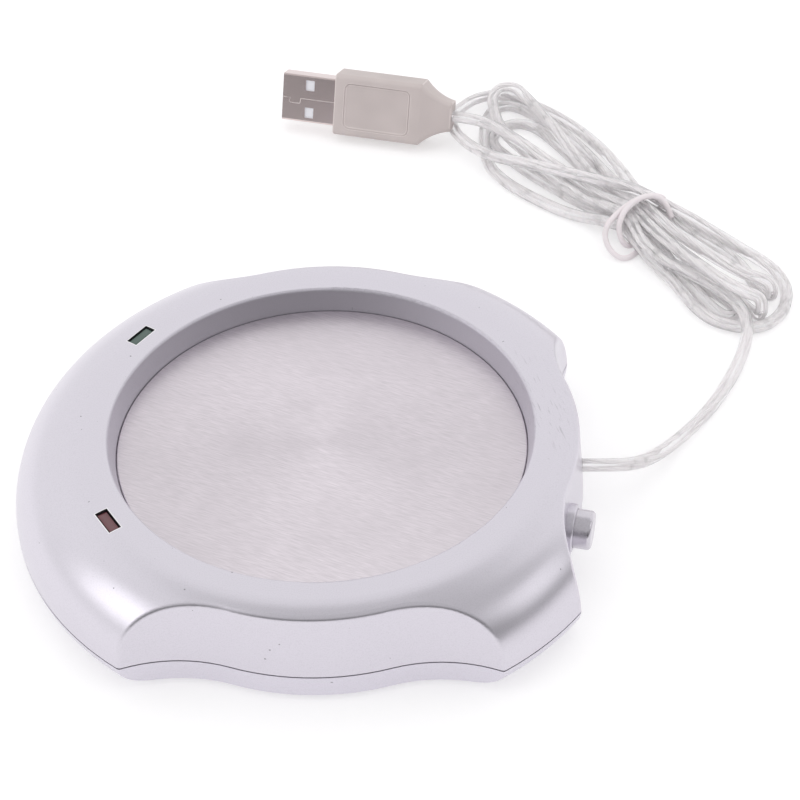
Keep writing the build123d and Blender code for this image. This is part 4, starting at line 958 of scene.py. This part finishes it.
def make_floor():
    """A wide flat floor on which the feet stand."""
    mesh = bpy.data.meshes.new("floor")
    shape = bmesh.new()
    bmesh.ops.create_grid(shape, x_segments=1, y_segments=1, size=sizes().floor_width / 2)
    shape.to_mesh(mesh)
    shape.free()
    floor = link(bpy.data.objects.new("floor", mesh))
    material, tree, shader = new_material("studio_floor", colours().floor, Roughness=0.9)
    strength = span(tree, seen_rays(tree), 0.0, 1.0, *FLOOR_GLOW)
    glow = add(tree, "ShaderNodeEmission", links={"Strength": strength})
    both = add(tree, "ShaderNodeAddShader", links={0: shader.outputs[0], 1: glow.outputs[0]})
    tree.links.new(both.outputs[0], tree.nodes["Material Output"].inputs["Surface"])
    mesh.materials.append(material)


def make_world():
    """White all round for what the camera sees, and a softer white as light."""
    world = bpy.data.worlds.new("studio_air")
    world.use_nodes = True
    tree = world.node_tree
    background = tree.nodes["Background"]
    tree.links.new(span(tree, seen_rays(tree), 0.0, 1.0, *AIR_GLOW), background.inputs["Strength"])
    background.inputs["Color"].default_value = rgba(tint("FFFFFF"))
    bpy.context.scene.world = world


def make_card():
    """The cloth of the light tent round the front and sides and overhead, seen only in reflections: dark low
    down, paler above, a little brighter at the right and brightest at the left."""
    mesh = bpy.data.meshes.new("front_card")
    shape = bmesh.new()
    middle = (0.0, 0.0, 0.0)
    foot = shape.verts.new((0.0, -CARD_DISTANCE, 0.0))
    top = shape.verts.new((0.0, -CARD_DISTANCE, CARD_HEIGHT))
    line = [foot, top, shape.edges.new((foot, top))]
    bmesh.ops.rotate(shape, verts=shape.verts, cent=middle, matrix=Matrix.Rotation(-CARD_REACH, 3, "Z"))
    bmesh.ops.spin(
        shape, geom=line, cent=middle, axis=(0.0, 0.0, 1.0), angle=2 * CARD_REACH, steps=CARD_STEPS
    )
    overhead = Matrix.Translation((0.0, 0.0, CARD_HEIGHT))
    bmesh.ops.create_circle(
        shape, cap_ends=True, segments=CEILING_SIDES, radius=CEILING_RADIUS, matrix=overhead
    )
    shape.to_mesh(mesh)
    shape.free()
    card = link(bpy.data.objects.new("front_card", mesh))
    material, tree, _ = new_material("card_cloth", (0.0, 0.0, 0.0), Roughness=1.0)
    aside, forward, up = split(tree, object_place(tree))
    height = maths(tree, "ADD", up, times(tree, forward, CARD_LEAN))
    wall = span(tree, height, CARD_DARK, CARD_PALE, DARK_GLOW, PALE_GLOW)
    left = span(tree, aside, *CARD_LEFT, DARK_GLOW, LEFT_GLOW)
    right = span(tree, aside, *CARD_RIGHT, 0.0, RIGHT_GLOW)
    glow = add(
        tree, "ShaderNodeEmission", links={"Strength": larger(tree, wall, larger(tree, left, right))}
    )
    tree.links.new(glow.outputs[0], tree.nodes["Material Output"].inputs["Surface"])
    mesh.materials.append(material)
    card.visible_camera = False
    card.visible_diffuse = False
    card.visible_transmission = False
    card.visible_shadow = False


def make_lights():
    """Three soft boxes: one each side, and a weak one overhead that no surface mirrors."""
    for name, place, width, power, mirrored in LAMPS:
        lamp = bpy.data.lights.new(name, "AREA")
        lamp.shape = "SQUARE"
        lamp.size = width
        lamp.energy = power
        box = link(bpy.data.objects.new(name, lamp))
        box.location = place
        box.visible_glossy = mirrored
        box.rotation_euler = (Vector(LAMP_AIM) - Vector(place)).to_track_quat("-Z", "Y").to_euler()


def make_camera():
    """The camera, with its own axes as columns."""
    data = bpy.data.cameras.new("camera")
    data.sensor_width = SENSOR
    data.lens = SENSOR * FOCAL / IMAGE
    camera = link(bpy.data.objects.new("camera", data))
    right, up = Vector(CAMERA_RIGHT), Vector(CAMERA_UP)
    columns = (right, up, right.cross(up), metres(CAMERA_PLACE))
    camera.matrix_world = Matrix(
        [[column[row] for column in columns] for row in range(3)] + [(0.0, 0.0, 0.0, 1.0)]
    )
    bpy.context.scene.camera = camera


class WARMER_PT_panel(bpy.types.Panel):
    """Lists the pieces of the mug warmer"""

    bl_idname = "WARMER_PT_panel"
    bl_label = "Mug warmer"
    bl_space_type = "VIEW_3D"
    bl_region_type = "UI"
    bl_category = "Mug warmer"

    def draw(self, context):
        for operator in OPERATORS:
            self.layout.operator(operator.bl_idname)
        for group in (context.scene.warmer_sizes, context.scene.warmer_colours):
            column = self.layout.column()
            for name in group.__annotations__:
                column.prop(group, name)


OPERATORS = (
    WARMER_OT_case,
    WARMER_OT_button,
    WARMER_OT_plate,
    WARMER_OT_windows,
    WARMER_OT_plug,
    WARMER_OT_tie,
    WARMER_OT_cord,
    WARMER_OT_feet,
    WARMER_OT_inside,
    WARMER_OT_stage,
)
CLASSES = (WarmerSizes, WarmerColours, *OPERATORS, WARMER_PT_panel)


def register():
    """Makes the classes known and hangs their values on the scene."""
    for one in CLASSES:
        bpy.utils.register_class(one)
    bpy.types.Scene.warmer_sizes = PointerProperty(type=WarmerSizes)
    bpy.types.Scene.warmer_colours = PointerProperty(type=WarmerColours)


def unregister():
    """Takes the values and the classes away again."""
    del bpy.types.Scene.warmer_colours
    del bpy.types.Scene.warmer_sizes
    for one in reversed(CLASSES):
        bpy.utils.unregister_class(one)


def main():
    """Builds every piece in order."""
    register()
    for name in ("case", "button", "plate", "windows", "plug", "tie", "cord", "feet", "inside", "stage"):
        getattr(bpy.ops.warmer, name)()


if __name__ == "__main__":
    main()
